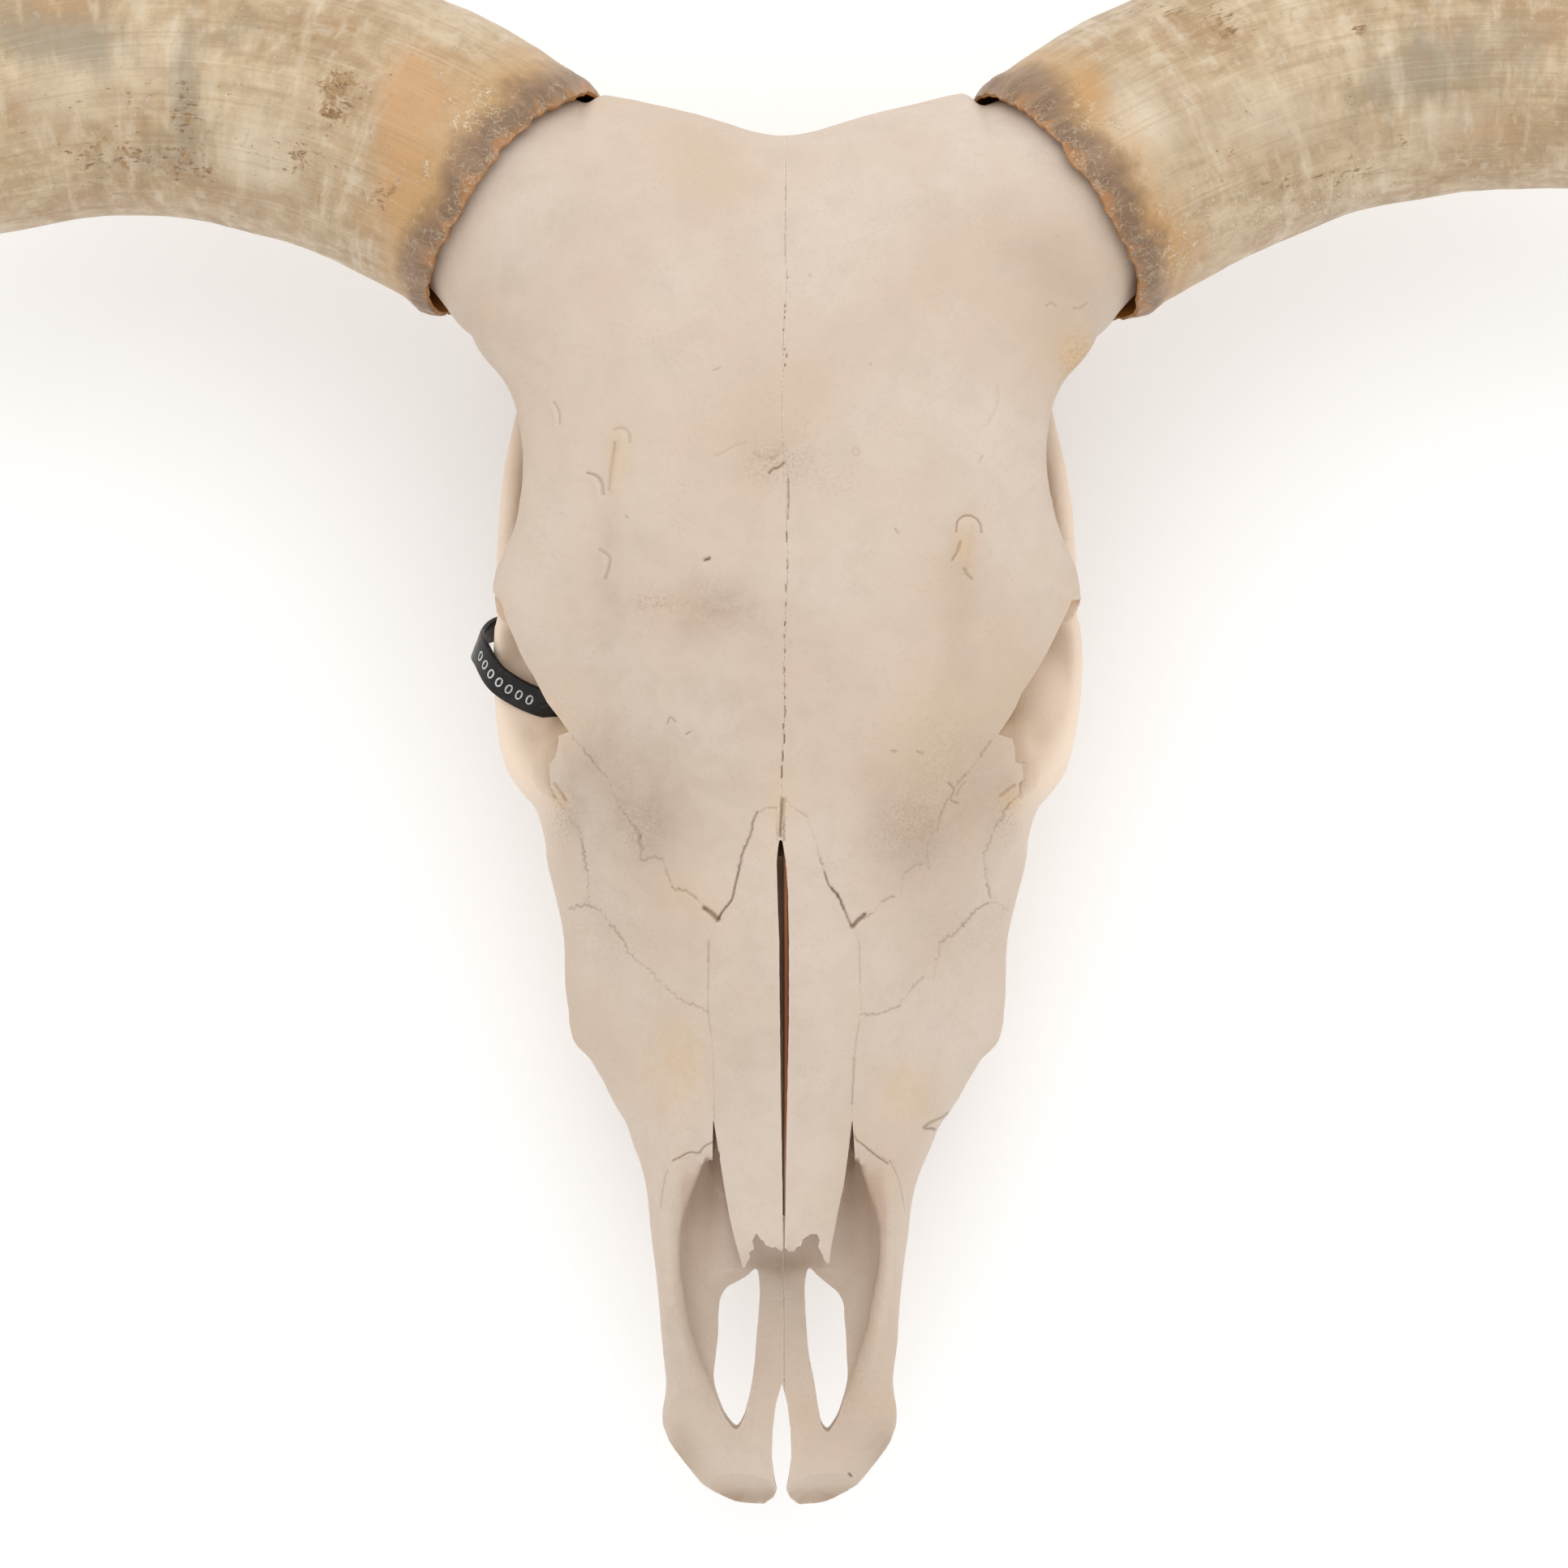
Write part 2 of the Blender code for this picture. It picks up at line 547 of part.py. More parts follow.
def horn_rings(side, profile, count, sides):
    """Round sections of the horn at count places along a profile of (distance, radius)."""
    keys, radii = zip(*profile)
    places = np.linspace(keys[0], keys[-1], count)
    widths = through(keys, radii, places)[:, 0]
    ahead = horn_line(side, places + 0.5) - horn_line(side, places - 0.5)
    rings = []
    for centre, run, radius in zip(horn_line(side, places), ahead, widths):
        run = Vector(run).normalized()
        across = run.cross(Vector((0, 0, 1))).normalized()
        up = across.cross(run)
        turn = [2 * math.pi * k / sides for k in range(sides)]
        rings.append([Vector(centre) + (across * math.cos(a) + up * math.sin(a)) * radius for a in turn])
    return rings


def horn_core(side):
    return loft("horn_core", horn_rings(side, CORE, 24, 24))


def horn_sheath(name, side, clearance=0.0):
    """A horn: solid towards the tip, hollow over the core, with an open rim."""
    outside = [(at, radius + clearance) for at, radius in SHEATH]
    bore = [(at, radius - clearance) for at, radius in SHEATH_BORE]
    outside[0] = (-clearance, outside[0][1])
    bore[0] = (-clearance, bore[0][1])
    return loft(name, horn_rings(side, bore, 7, 16)[::-1] + horn_rings(side, outside, 14, 16))


# ---------------------------------------------------------------- teeth and strap


# The row of cheek teeth of the left side from back to front: y of the back, length, width, lobes.
TEETH = [(27, 25, 2), (28, 25, 2), (25, 24, 2), (18, 21, 1), (17, 19, 1), (15, 15, 1)]
ROW_LINE = [(-150, 43), (-118, 48), (-89, 52), (-45, 56.5), (5, 59)]
SOCKET_DEPTH = 6.0


def tooth_row(name, side, clearance=0.0):
    """Six cheek teeth joined into a row, as one bar whose width swells at every lobe."""
    widths = []
    y = LAST_MOLAR
    for length, width, lobes in TEETH:
        for lobe in range(lobes):
            size = length / lobes
            for part, swell in ((0.04, 0.78), (0.3, 1.0), (0.7, 1.0)):
                widths.append((y - size * (lobe + part), width / 2 * swell))
        y -= length
    widths.append((y, TEETH[-1][1] / 2 * 0.6))
    rings = []
    for y, half in widths:
        x = through(*zip(*ROW_LINE), [y])[0, 0]
        low = (LAST_MOLAR - y) * math.tan(TOOTH_TILT)
        high = low + CROWN + SOCKET_DEPTH + clearance
        half += clearance
        section = [(-half, high), (-half, low + 3), (-half * 0.75, low), (half * 0.6, low + 1.5)]
        section += [(half, low + 1), (half, high)]
        rings.append([((x + u) * side, y, z) for u, z in section])
    return loft(name, rings)


STRAP_WIDTH = 12.0
STRAP_THICKNESS = 1.8
# The loop round the lower rim of the right orbit, as x, y, z.
STRAP_LOOP = [
    (-118, 51, 119), (-111.5, 41, 125), (-102.5, 35, 125), (-92.5, 31, 124), (-83.5, 29, 121), (-77, 33, 113),
    (-74.5, 42, 100), (-79, 51, 90), (-90, 58, 85), (-103, 62, 84), (-114, 61, 90), (-119.5, 56, 104),
]  # fmt: skip


def strap():
    """A flat plastic band closed round the rim of the orbit."""
    line = closed_curve(STRAP_LOOP, 3)
    middle = line.mean(axis=0)
    ahead = np.roll(line, -1, axis=0) - np.roll(line, 1, axis=0)
    plane = np.linalg.svd(line - middle)[2][2]
    rings = []
    for centre, run in zip(line, ahead):
        outward = Vector(np.cross(run, plane)).normalized()
        across = Vector(run).cross(outward).normalized()
        half, thick = across * STRAP_WIDTH / 2, outward * STRAP_THICKNESS / 2
        centre = Vector(centre)
        inner, outer = centre - thick, centre + thick
        rings.append([inner - half, inner + half, outer + half, outer - half])
    band = loft("tag_strap", rings, closed=True)
    paint(band, "black plastic", (0.02, 0.02, 0.022), 0.4)
    return band


# ---------------------------------------------------------------- colours, place on the floor


def paint(obj, name, colour, roughness):
    material = bpy.data.materials.get(name) or bpy.data.materials.new(name)
    material.use_nodes = True
    shader = material.node_tree.nodes["Principled BSDF"]
    shader.inputs["Base Color"].default_value = (*colour, 1)
    shader.inputs["Roughness"].default_value = roughness
    shader.inputs["Metallic"].default_value = 0
    obj.data.materials.clear()
    obj.data.materials.append(material)


def set_on_floor():
    """Moves everything so that the middle of the bottom of its bounding box is the origin."""
    objects = list(bpy.data.objects)
    corners = np.array([obj.matrix_world @ Vector(c) for obj in objects for c in obj.bound_box])
    low, high = corners.min(axis=0), corners.max(axis=0)
    for obj in objects:
        for vertex in obj.data.vertices:
            vertex.co -= Vector(((low[0] + high[0]) / 2, (low[1] + high[1]) / 2, low[2]))
        obj.data.update()


def main():
    for obj in list(bpy.data.objects):
        bpy.data.objects.remove(obj)
    bones = bones_of(bony_skull())
    for side, end in ((1, "left"), (-1, "right")):
        row = tooth_row(f"teeth_{end}", side)
        paint(row, "tooth", (0.72, 0.62, 0.47), 0.35)
        maxilla = bpy.data.objects[f"maxilla_{end}"]
        combined(maxilla, tooth_row("socket", side, SUTURE), "DIFFERENCE")
        largest_body(maxilla)
        paint(horn_sheath(f"horn_sheath_{end}", side), "horn", (0.55, 0.42, 0.27), 0.42)
    for bone in bones:
        paint(bone, "bone", (0.73, 0.61, 0.50), 0.6)
    strap()
    set_on_floor()


main()
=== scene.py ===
# %% [markdown]
# # The skull of a long-horned bull
# The object is a cleaned bull's skull without its lower jaw, as a museum shows it: pale dry bone,
# two long horns whose sheaths sit loosely on their bony cores, and a plastic seal strap through one
# eye socket. It lies on its cheek teeth, and the camera looks straight down on the forehead.
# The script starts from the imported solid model, which gives every bone its place. Each solid is then
# replaced by a finer piece with the real surface: pores, grooves, toothed sutures and stains.

import math

import bpy
import numpy as np
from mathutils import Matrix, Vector, noise


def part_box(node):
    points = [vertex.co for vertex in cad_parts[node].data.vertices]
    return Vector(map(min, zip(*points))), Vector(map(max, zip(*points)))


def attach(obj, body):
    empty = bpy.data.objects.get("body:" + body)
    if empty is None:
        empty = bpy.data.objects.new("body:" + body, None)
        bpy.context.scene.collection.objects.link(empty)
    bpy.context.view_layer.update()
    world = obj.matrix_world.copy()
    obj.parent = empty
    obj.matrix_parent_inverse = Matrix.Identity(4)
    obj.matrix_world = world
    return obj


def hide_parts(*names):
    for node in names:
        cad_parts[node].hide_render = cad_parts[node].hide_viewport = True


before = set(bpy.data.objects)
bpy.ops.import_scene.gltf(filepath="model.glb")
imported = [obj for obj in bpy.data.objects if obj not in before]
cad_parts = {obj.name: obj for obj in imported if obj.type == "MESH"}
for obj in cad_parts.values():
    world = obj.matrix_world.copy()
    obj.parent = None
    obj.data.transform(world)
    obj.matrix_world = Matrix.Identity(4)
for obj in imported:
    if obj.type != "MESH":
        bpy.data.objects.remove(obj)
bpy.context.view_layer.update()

# %% [markdown]
# ## One set of axes for everything
# The forms are drawn in millimetres, with X = 0 on the skull's midline, +X to the animal's left,
# +Y towards the poll and Z = 0 on the floor. The solid model was moved a little after it was drawn,
# to centre its box, so the same move is read back from its rows of teeth and used for every piece.

# %% Axes
MM = 0.001
LAST_MOLAR = -10.0  # where the rows of cheek teeth end, towards the back
TEETH_BEHIND, TEETH_ABOVE = -0.54, 0.115  # the solid rows, against the drawn line and the floor
left_teeth, right_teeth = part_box("teeth_left"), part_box("teeth_right")
SHIFT = Vector(
    (
        (left_teeth[0].x + right_teeth[1].x) / 2,
        left_teeth[1].y - (LAST_MOLAR + TEETH_BEHIND) * MM,
        left_teeth[0].z - TEETH_ABOVE * MM,
    )
)
print("shift in mm:", [round(c / MM, 2) for c in SHIFT])

# %% [markdown]
# ## The camera
# The photo is taken from straight above and from far away, so its perspective is weak. At 2.2 m below
# the lens one pixel of the 1932-pixel picture covers 0.305 mm, and that fixes the focal length.
# The same figures turn a place in the picture into a ray, which finds the bone that shows there.

# %% Camera
PHOTO = 1932
EYE_HEIGHT = 2400.0
FOREHEAD_AWAY = 2200.0
MM_PER_PIXEL = 0.305
FOCAL_PIXELS = FOREHEAD_AWAY / MM_PER_PIXEL
SENSOR = 36.0

camera_data = bpy.data.cameras.new("camera")
camera_data.sensor_width = SENSOR
camera_data.lens = SENSOR * FOCAL_PIXELS / PHOTO
camera_data.clip_end = 50
camera_data.dof.use_dof = False
camera = bpy.data.objects.new("camera", camera_data)
bpy.context.scene.collection.objects.link(camera)
camera.location = Vector((0, 0, EYE_HEIGHT * MM)) + SHIFT
bpy.context.scene.camera = camera
print("lens:", round(camera_data.lens, 1), "mm")


def photo_ray(px, py):
    """The direction from the lens through a pixel of the picture."""
    return Vector((px - PHOTO / 2, PHOTO / 2 - py, -FOCAL_PIXELS)).normalized()


def photo_place(points):
    """The pixels at which points given in mm appear."""
    away = FOCAL_PIXELS / (EYE_HEIGHT - points[:, 2])
    return np.stack([PHOTO / 2 + points[:, 0] * away, PHOTO / 2 - points[:, 1] * away], axis=1)


def at_height(pixels, z):
    """The points in mm that show at these pixels, if they lie at height z."""
    k = (EYE_HEIGHT - z) / FOCAL_PIXELS
    return np.array([((px - PHOTO / 2) * k, (PHOTO / 2 - py) * k) for px, py in pixels])


# %% [markdown]
# ## Curves through measured points
# Every form starts from a few measured points. A smooth curve through them gives as many points as
# the mesh needs. A cubic curve with slopes taken from its neighbours passes through each point.


# %% Curves
def through(keys, values, places):
    """Reads a smooth curve through values, given at rising keys, at the places asked for."""
    keys = np.asarray(keys, float)
    values = np.asarray(values, float).reshape(len(keys), -1)
    slopes = np.gradient(values, keys, axis=0)
    places = np.clip(np.asarray(places, float), keys[0], keys[-1])
    i = np.clip(np.searchsorted(keys, places) - 1, 0, len(keys) - 2)
    step = (keys[i + 1] - keys[i])[:, None]
    t = ((places - keys[i]) / (keys[i + 1] - keys[i]))[:, None]
    start = (2 * t**3 - 3 * t**2 + 1) * values[i] + (t**3 - 2 * t**2 + t) * step * slopes[i]
    end = (3 * t**2 - 2 * t**3) * values[i + 1] + (t**3 - t**2) * step * slopes[i + 1]
    return start + end


def lengths(points):
    """The distance along a line of points, at each of them."""
    steps = np.linalg.norm(np.diff(points, axis=0), axis=1)
    return np.concatenate([[0], np.cumsum(steps)])


def closed_curve(corners, steps):
    """A smooth closed curve through corners, with the same number of points between each pair."""
    corners = np.asarray(corners, float)
    n = len(corners)
    padded = corners[np.arange(-2, n + 3) % n]
    keys = lengths(padded)
    starts, ends = keys[2 : n + 2], keys[3 : n + 3]
    places = [a + (b - a) * j / steps for a, b in zip(starts, ends) for j in range(steps)]
    return through(keys, padded, places)


def open_curve(points, count):
    """A smooth curve through points, read at count evenly spaced places."""
    points = np.asarray(points, float)
    keys = lengths(points[:, :3])
    return through(keys, points, np.linspace(0, keys[-1], count))


# %% [markdown]
# ## Skins, bars and lumps
# A body can be built from a stack of cross sections. Here a grid is added and its rows are laid onto
# the sections, so that it wraps round like a sheet of paper. Its edges are then merged and its ends
# filled. A bar is the same with oval sections along a line, and a lump is a stretched sphere.


# %% Skins, bars and lumps
def pick(*objects):
    """Selects these objects alone, the first of them active."""
    bpy.ops.object.select_all(action="DESELECT")
    for obj in objects:
        obj.select_set(True)
    bpy.context.view_layer.objects.active = objects[0]
    return objects[0]


def add_values(obj, name, values):
    """Stores a number, or three of them, for each point."""
    values = np.asarray(values, np.float32)
    kind, key = ("FLOAT", "value") if values.ndim == 1 else ("FLOAT_VECTOR", "vector")
    obj.data.attributes.new(name, kind, "POINT").data.foreach_set(key, values.ravel())


def wrapped(name, rings, closed=False, values=None):
    """A grid wrapped round rings of points in mm, closed along its length or with filled ends.

    Values are tables of the same rows and columns, stored before the edges are merged."""
    rings = np.asarray(rings, float)
    if closed:
        rings = np.concatenate([rings, rings[:1]])
    rings = np.concatenate([rings, rings[:, :1]], axis=1)
    rows, columns = rings.shape[:2]
    bpy.ops.object.select_all(action="DESELECT")
    bpy.ops.mesh.primitive_grid_add(x_subdivisions=columns - 1, y_subdivisions=rows - 1)
    obj = bpy.context.object
    obj.name = name
    obj.data.vertices.foreach_set("co", (rings * MM).ravel())
    for label, table in (values or {}).items():
        table = np.concatenate([table, table[:, :1]], axis=1)
        add_values(obj, label, table.reshape(rows * columns, -1).squeeze())
    bpy.ops.object.mode_set(mode="EDIT")
    bpy.ops.mesh.select_all(action="SELECT")
    bpy.ops.mesh.remove_doubles(threshold=0.001 * MM)
    bpy.ops.mesh.fill_holes(sides=0)
    bpy.ops.mesh.normals_make_consistent(inside=False)
    bpy.ops.object.mode_set(mode="OBJECT")
    return obj


RING_STEPS = 10  # points between two corners of a section
STATION_STEP = 2.5


def body_loft(name, stations):
    """A body symmetric about X = 0. A station is its y and its half section, from roof to keel."""
    stations = sorted(stations)
    keys = [s[0] for s in stations]
    halves = np.array([s[1] for s in stations], float)
    count = round((keys[-1] - keys[0]) / STATION_STEP)
    places = np.linspace(keys[0], keys[-1], count)
    read = through(keys, halves.reshape(len(keys), -1), places).reshape(count, -1, 2)
    rings = []
    for y, half in zip(places, read):
        ring = closed_curve(np.vstack([half, half[-2:0:-1] * (-1, 1)]), RING_STEPS)
        rings.append(np.column_stack([ring[:, 0], np.full(len(ring), y), ring[:, 1]]))
    return wrapped(name, rings)


def ovals(centres, runs, wides, highs, sides):
    """Oval sections across a line, whose height stays as upright as the line lets it."""
    turn = np.linspace(0, 2 * math.pi, sides, endpoint=False)
    rings = []
    for centre, run, wide, high in zip(centres, runs, wides, highs):
        run = Vector(run).normalized()
        across = run.cross(Vector((0, 0, 1)))
        across = across.normalized() if across.length > 0.5 else Vector((0, 1, 0))
        up = np.array(across.cross(run).normalized())
        ring = np.outer(np.cos(turn) * wide, np.array(across)) + np.outer(np.sin(turn) * high, up)
        rings.append(centre + ring)
    return np.array(rings)


def bar(name, stations, side=1, sides=28, closed=False):
    """A bar swept through stations of (x, y, z, half width, half height)."""
    stations = np.asarray(stations, float)
    count = max(4, round(lengths(stations[:, :3])[-1] / STATION_STEP))
    if closed:
        line = closed_curve(stations, max(2, round(count / len(stations))))
    else:
        line = open_curve(stations, count)
    centres = line[:, :3] * (side, 1, 1)
    if closed:
        runs = np.roll(centres, -1, axis=0) - np.roll(centres, 1, axis=0)
    else:
        runs = np.gradient(centres, axis=0)
    return wrapped(name, ovals(centres, runs, line[:, 3], line[:, 4], sides), closed)


def lump(name, centre, radii, side=1, turn=(0, 0, 0), rings=24):
    """A sphere stretched to an ellipsoid, turned by degrees about X, Y and Z."""
    bpy.ops.object.select_all(action="DESELECT")
    bpy.ops.mesh.primitive_uv_sphere_add(
        segments=round(rings * 5 / 3),
        ring_count=rings,
        radius=MM,
        location=Vector((centre[0] * side, centre[1], centre[2])) * MM,
        rotation=(math.radians(turn[0]), math.radians(turn[1]) * side, math.radians(turn[2]) * side),
        scale=radii,
    )
    bpy.ops.object.transform_apply(location=True, rotation=True, scale=True)
    bpy.context.object.name = name
    return bpy.context.object


def prism(name, outline, low, high, axis="Z"):
    """A closed outline extruded along Z, or a (y, z) outline extruded along X."""
    outline = np.asarray(outline, float)
    rings = []
    for level in (low, high):
        flat = np.full(len(outline), float(level))
        rings.append(np.column_stack((*outline.T, flat) if axis == "Z" else (flat, *outline.T)))
    return wrapped(name, rings)


# %% [markdown]
# ## Joining and carving
# Living bone has no seams between its forms: the brow flows into the forehead. So overlapping forms
# are joined and given one new skin by a voxel remesh, and smoothing then blends the creases where
# they met. Hollows are carved afterwards with Booleans, which keeps their position exact. A Boolean
# on a large mesh takes seconds, so the small cutters are united first and the skull is cut once.


# %% Joining and carving
def finished(obj, kind, **settings):
    """Adds one modifier with its settings and applies it."""
    pick(obj)
    modifier = obj.modifiers.new(kind.lower(), kind)
    for key, value in settings.items():
        setattr(modifier, key, value)
    bpy.ops.object.modifier_apply(modifier=modifier.name)
    return obj


def fused(name, pieces, cell, rounds):
    """One smooth skin over all that the pieces fill."""
    obj = pick(*pieces)
    if len(pieces) > 1:
        bpy.ops.object.join()
    obj.name = name
    finished(obj, "REMESH", mode="VOXEL", voxel_size=cell * MM)
    return finished(obj, "SMOOTH", factor=0.5, iterations=rounds)


def carved(obj, cutter, operation="DIFFERENCE"):
    """Applies one Boolean and removes the cutter."""
    finished(obj, "BOOLEAN", operation=operation, solver="MANIFOLD", object=cutter)
    bpy.data.objects.remove(cutter)
    return obj


def united(cutters):
    """Several cutters as one, so that the large mesh is cut only once."""
    whole, *others = cutters
    for cutter in others:
        carved(whole, cutter, "UNION")
    return whole


def both(make):
    """The pieces that make(side) gives for the left side, +1, and for the right side, -1."""
    return [piece for side in (1, -1) for piece in make(side)]


# %% [markdown]
# ## The measured sections of the skull
# The braincase, forehead and face are one body of nineteen half sections, and the muzzle another of
# twelve. Both are the same on the two sides. Their points follow anatomical lines, such as the brow or
# the edge of the tooth sockets, so that the surface between two sections flows along the real ridges.

# %% Sections
# Roof, forehead, brow, under the brow, flank, cheek, edge of the base or sockets, palate, keel.
HEAD = [
    (242, [(0, 184), (40, 184), (68, 172), (72, 150), (68, 124), (63, 104), (46, 86), (26, 90), (0, 96)]),
    (234, [(0, 190), (48, 191), (84, 184), (88, 150), (80, 122), (73, 96), (54, 74), (28, 78), (0, 86)]),
    (205, [(0, 202), (54, 204), (100, 190), (98, 150), (84, 118), (90, 88), (56, 62), (24, 48), (0, 46)]),
    (180, [(0, 206), (60, 206), (120, 176), (98, 146), (82, 122), (95, 90), (54, 60), (22, 46), (0, 43)]),
    (165, [(0, 207), (61, 207), (117, 175), (92, 150), (74, 126), (82, 90), (48, 58), (20, 46), (0, 43)]),
    (152, [(0, 207), (61, 206), (106, 179), (85, 158), (67, 128), (70, 92), (44, 57), (18, 47), (0, 44)]),
    (130, [(0, 207), (60, 206), (100, 180), (82, 162), (60, 130), (60, 94), (38, 62), (16, 50), (0, 48)]),
    (100, [(0, 207), (62, 205), (103, 178), (84, 161), (57, 130), (56, 98), (34, 68), (15, 56), (0, 54)]),
    (72, [(0, 206), (66, 202), (112, 171), (92, 156), (54, 130), (52, 102), (32, 74), (15, 60), (0, 58)]),
    (42, [(0, 204), (60, 199), (95, 174), (80, 160), (52, 134), (50, 106), (34, 72), (16, 58), (0, 56)]),
    (22, [(0, 202), (54, 196), (83, 172), (84, 156), (78, 134), (70, 108), (46, 50), (18, 52), (0, 54)]),
    (5, [(0, 200), (44, 193), (75, 170), (88, 150), (95, 127), (90, 104), (66, 27), (40, 32), (0, 54)]),
    (-25, [(0, 194), (32, 188), (57, 171), (80, 146), (94.5, 118), (84, 94), (70, 22), (40, 30), (0, 50)]),
    (-60, [(0, 186), (26, 182), (46, 165), (70, 132), (87.5, 106), (77, 84), (67, 29), (38, 34), (0, 54)]),
    (-90, [(0, 179), (23, 176), (39, 159), (65, 124), (85.5, 98), (74, 80), (62, 35), (34, 40), (0, 57)]),
    (-112, [(0, 172), (20, 169), (34, 154), (56, 123), (75, 99), (65, 82), (57, 40), (30, 44), (0, 60)]),
    (-135, [(0, 165), (16, 162), (29, 152), (44, 130), (59, 104), (61, 86), (52, 46), (24, 50), (0, 62)]),
    (-150, [(0, 160.5), (14, 158.5), (25, 150), (31, 136), (37, 112), (37, 90), (33, 62), (16, 60), (0, 64)]),
    (-193, [(0, 148.5), (9, 147.5), (17, 142), (22, 132), (26, 112), (26, 92), (22, 72), (10, 70), (0, 70)]),
]
# Floor, floor's side, foot, inner edge, crest, outer wall, lower wall, edge, keel.
MUZZLE = [
    (-122, [(0, 85), (16, 85), (26, 94), (28, 146), (34, 149), (54, 118), (63, 95), (53, 45), (0, 60)]),
    (-138, [(0, 84), (18, 84), (26, 92), (28, 143), (38, 143), (54, 118), (60.5, 92), (51, 47), (0, 63)]),
    (-155, [(0, 83), (18, 83), (27, 91), (31, 128), (41, 134), (51.5, 112), (54, 90), (46, 57), (0, 65)]),
    (-178, [(0, 82), (18, 82), (29, 90), (36, 114), (44, 121), (49, 106), (50, 88), (43, 63), (0, 67)]),
    (-200, [(0, 81), (16, 81), (28, 87), (35, 102), (42.5, 110), (47, 100), (47.8, 86), (42, 66), (0, 68)]),
    (-222, [(0, 80), (14, 80), (26, 83), (31, 92), (38.5, 100), (45, 95), (46, 84), (40, 68), (0, 69)]),
    (-240, [(0, 79), (12, 80), (22, 82), (26, 86), (35, 92), (43, 90), (45, 82), (38, 68), (0, 69)]),
    (-251, [(0, 78), (12, 80), (22, 82), (26, 84), (34, 88), (44.5, 86), (47.2, 79), (38, 68), (0, 68)]),
    (-262, [(0, 77), (11, 79), (20, 82), (25, 83), (32, 84), (41, 80), (44.2, 74), (34, 65), (0, 66)]),
    (-272, [(0, 75), (9, 77), (17, 79), (21, 79.5), (27, 79), (34, 75), (37.5, 69), (28, 62), (0, 64)]),
    (-281, [(0, 72), (7, 74), (13, 75), (16, 75), (20, 74.5), (26, 71), (29, 65), (20, 60), (0, 61)]),
    (-287, [(0, 68), (5, 69), (9, 69.5), (11, 69.5), (13, 69), (16, 67), (18, 63.5), (12, 61), (0, 61.5)]),
]

# %% [markdown]
# ## Bars and knobs of the skull
# The poll between the horns, the rim of the eye socket, the zygomatic arch behind it and the thin
# plates under the braincase are bars of changing thickness. Joints, bullae and the facial tuber are
# lumps. The horn cores grow out of the forehead, along the same line as their sheaths.

# %% Bars
POLL_BAR = [
    (-80, 218, 151, 48, 49),
    (-45, 211.5, 152, 47, 51),
    (-21, 204.3, 152.5, 47, 51.5),
    (0, 201.4, 153, 47, 52),
]
ORBIT_RIM = [
    (104, 70, 158, 6.5, 9),
    (98, 56, 168, 7, 8),
    (89, 40, 170, 7, 7),
    (80, 22, 167, 8, 7),
    (80, 10, 157, 9, 9),
    (89, 1, 138, 9, 9),
    (97, 4, 124, 8, 8),
    (104, 18, 115, 8.5, 9),
    (107, 38, 113, 8.5, 10),
    (108, 56, 120, 7.5, 9),
    (106, 69, 140, 5.5, 8),
]
ORBIT_FLOOR = [(83, -8, 118, 15, 10), (92, 12, 110, 16, 7), (98, 36, 106, 12, 6), (102, 60, 106, 8, 7)]
ZYGOMATIC_ARCH = [
    (108, 52, 111, 5.5, 8),
    (109, 80, 106, 5, 9),
    (107.5, 108, 101, 5, 9),
    (103, 133, 95, 6, 8),
    (92, 152, 90, 11, 8),
    (78, 160, 88, 12, 10),
]
JUGULAR_PROCESS = [
    (76, 218, 84, 10, 18),
    (76, 213, 58, 8, 14),
    (75, 208, 34, 6, 10.5),
    (73, 203, 14, 4.5, 7.5),
    (71, 199.5, -1, 3.5, 5.5),
]
TEMPORAL_BASE = [(24, 178, 54, 14, 11), (56, 177, 66, 15, 13), (90, 176, 84, 15, 13)]
PTERYGOID_PLATE = [(22, 48, 64, 3.5, 10), (21, 26, 50, 3.5, 15), (21, 2, 40, 4, 12)]
BASAL_BAR = [(0, 226, 52, 22, 9), (0, 190, 49, 20, 9), (0, 150, 50, 15, 9), (0, 105, 58, 12, 9)]

# %% [markdown]
# ## The line of a horn
# A horn's axis is walked in short steps. Its bearing, seen from above, turns forwards past the base,
# and its rise grows towards the tip. The two horns differ by a few degrees, as real ones do. The
# photo shows only their first third, and the rest follows the long horns of such breeds.

# %% Horn line
HORN_AT = [-60, 0, 40, 90, 140, 190, 240, 330, 430, 520, 640]
HORN_BEARING = {
    1: [38, 36, 29, 21, 8, -1, -12, -26, -34, -33, -20],
    -1: [46, 38, 28, 16, 3, -11, -20, -31, -37, -35, -20],
}
HORN_RISE = [-13, -13, -11, -7, -2, 4, 10, 21, 35, 50, 64]
HORN_BASE = {1: (104, 221.6, 150), -1: (-102.6, 222.5, 150)}
HORN_START, HORN_END = -60, 660
CORE = [
    (-58, 30), (-44, 42), (-30, 48), (-13, 50), (-4, 47.6), (8, 45.5), (40, 42), (100, 38), (150, 33),
    (195, 24), (222, 8),
]  # fmt: skip


def horn_line(side, places):
    """The horn's axis at distances from its base, as the sum of short steps along its bearing."""
    along = np.arange(float(HORN_START), HORN_END)
    bearing = np.radians(through(HORN_AT, HORN_BEARING[side], along + 0.5)[:, 0])
    rise = np.radians(through(HORN_AT, HORN_RISE, along + 0.5)[:, 0])
    out = np.cos(bearing) * np.cos(rise) * side
    steps = np.stack([out, np.sin(bearing) * np.cos(rise), np.sin(rise)], axis=1)
    line = np.vstack([[0, 0, 0], np.cumsum(steps, axis=0)])
    line += np.array(HORN_BASE[side]) - line[-HORN_START]
    return through(np.append(along, HORN_END), line, places)


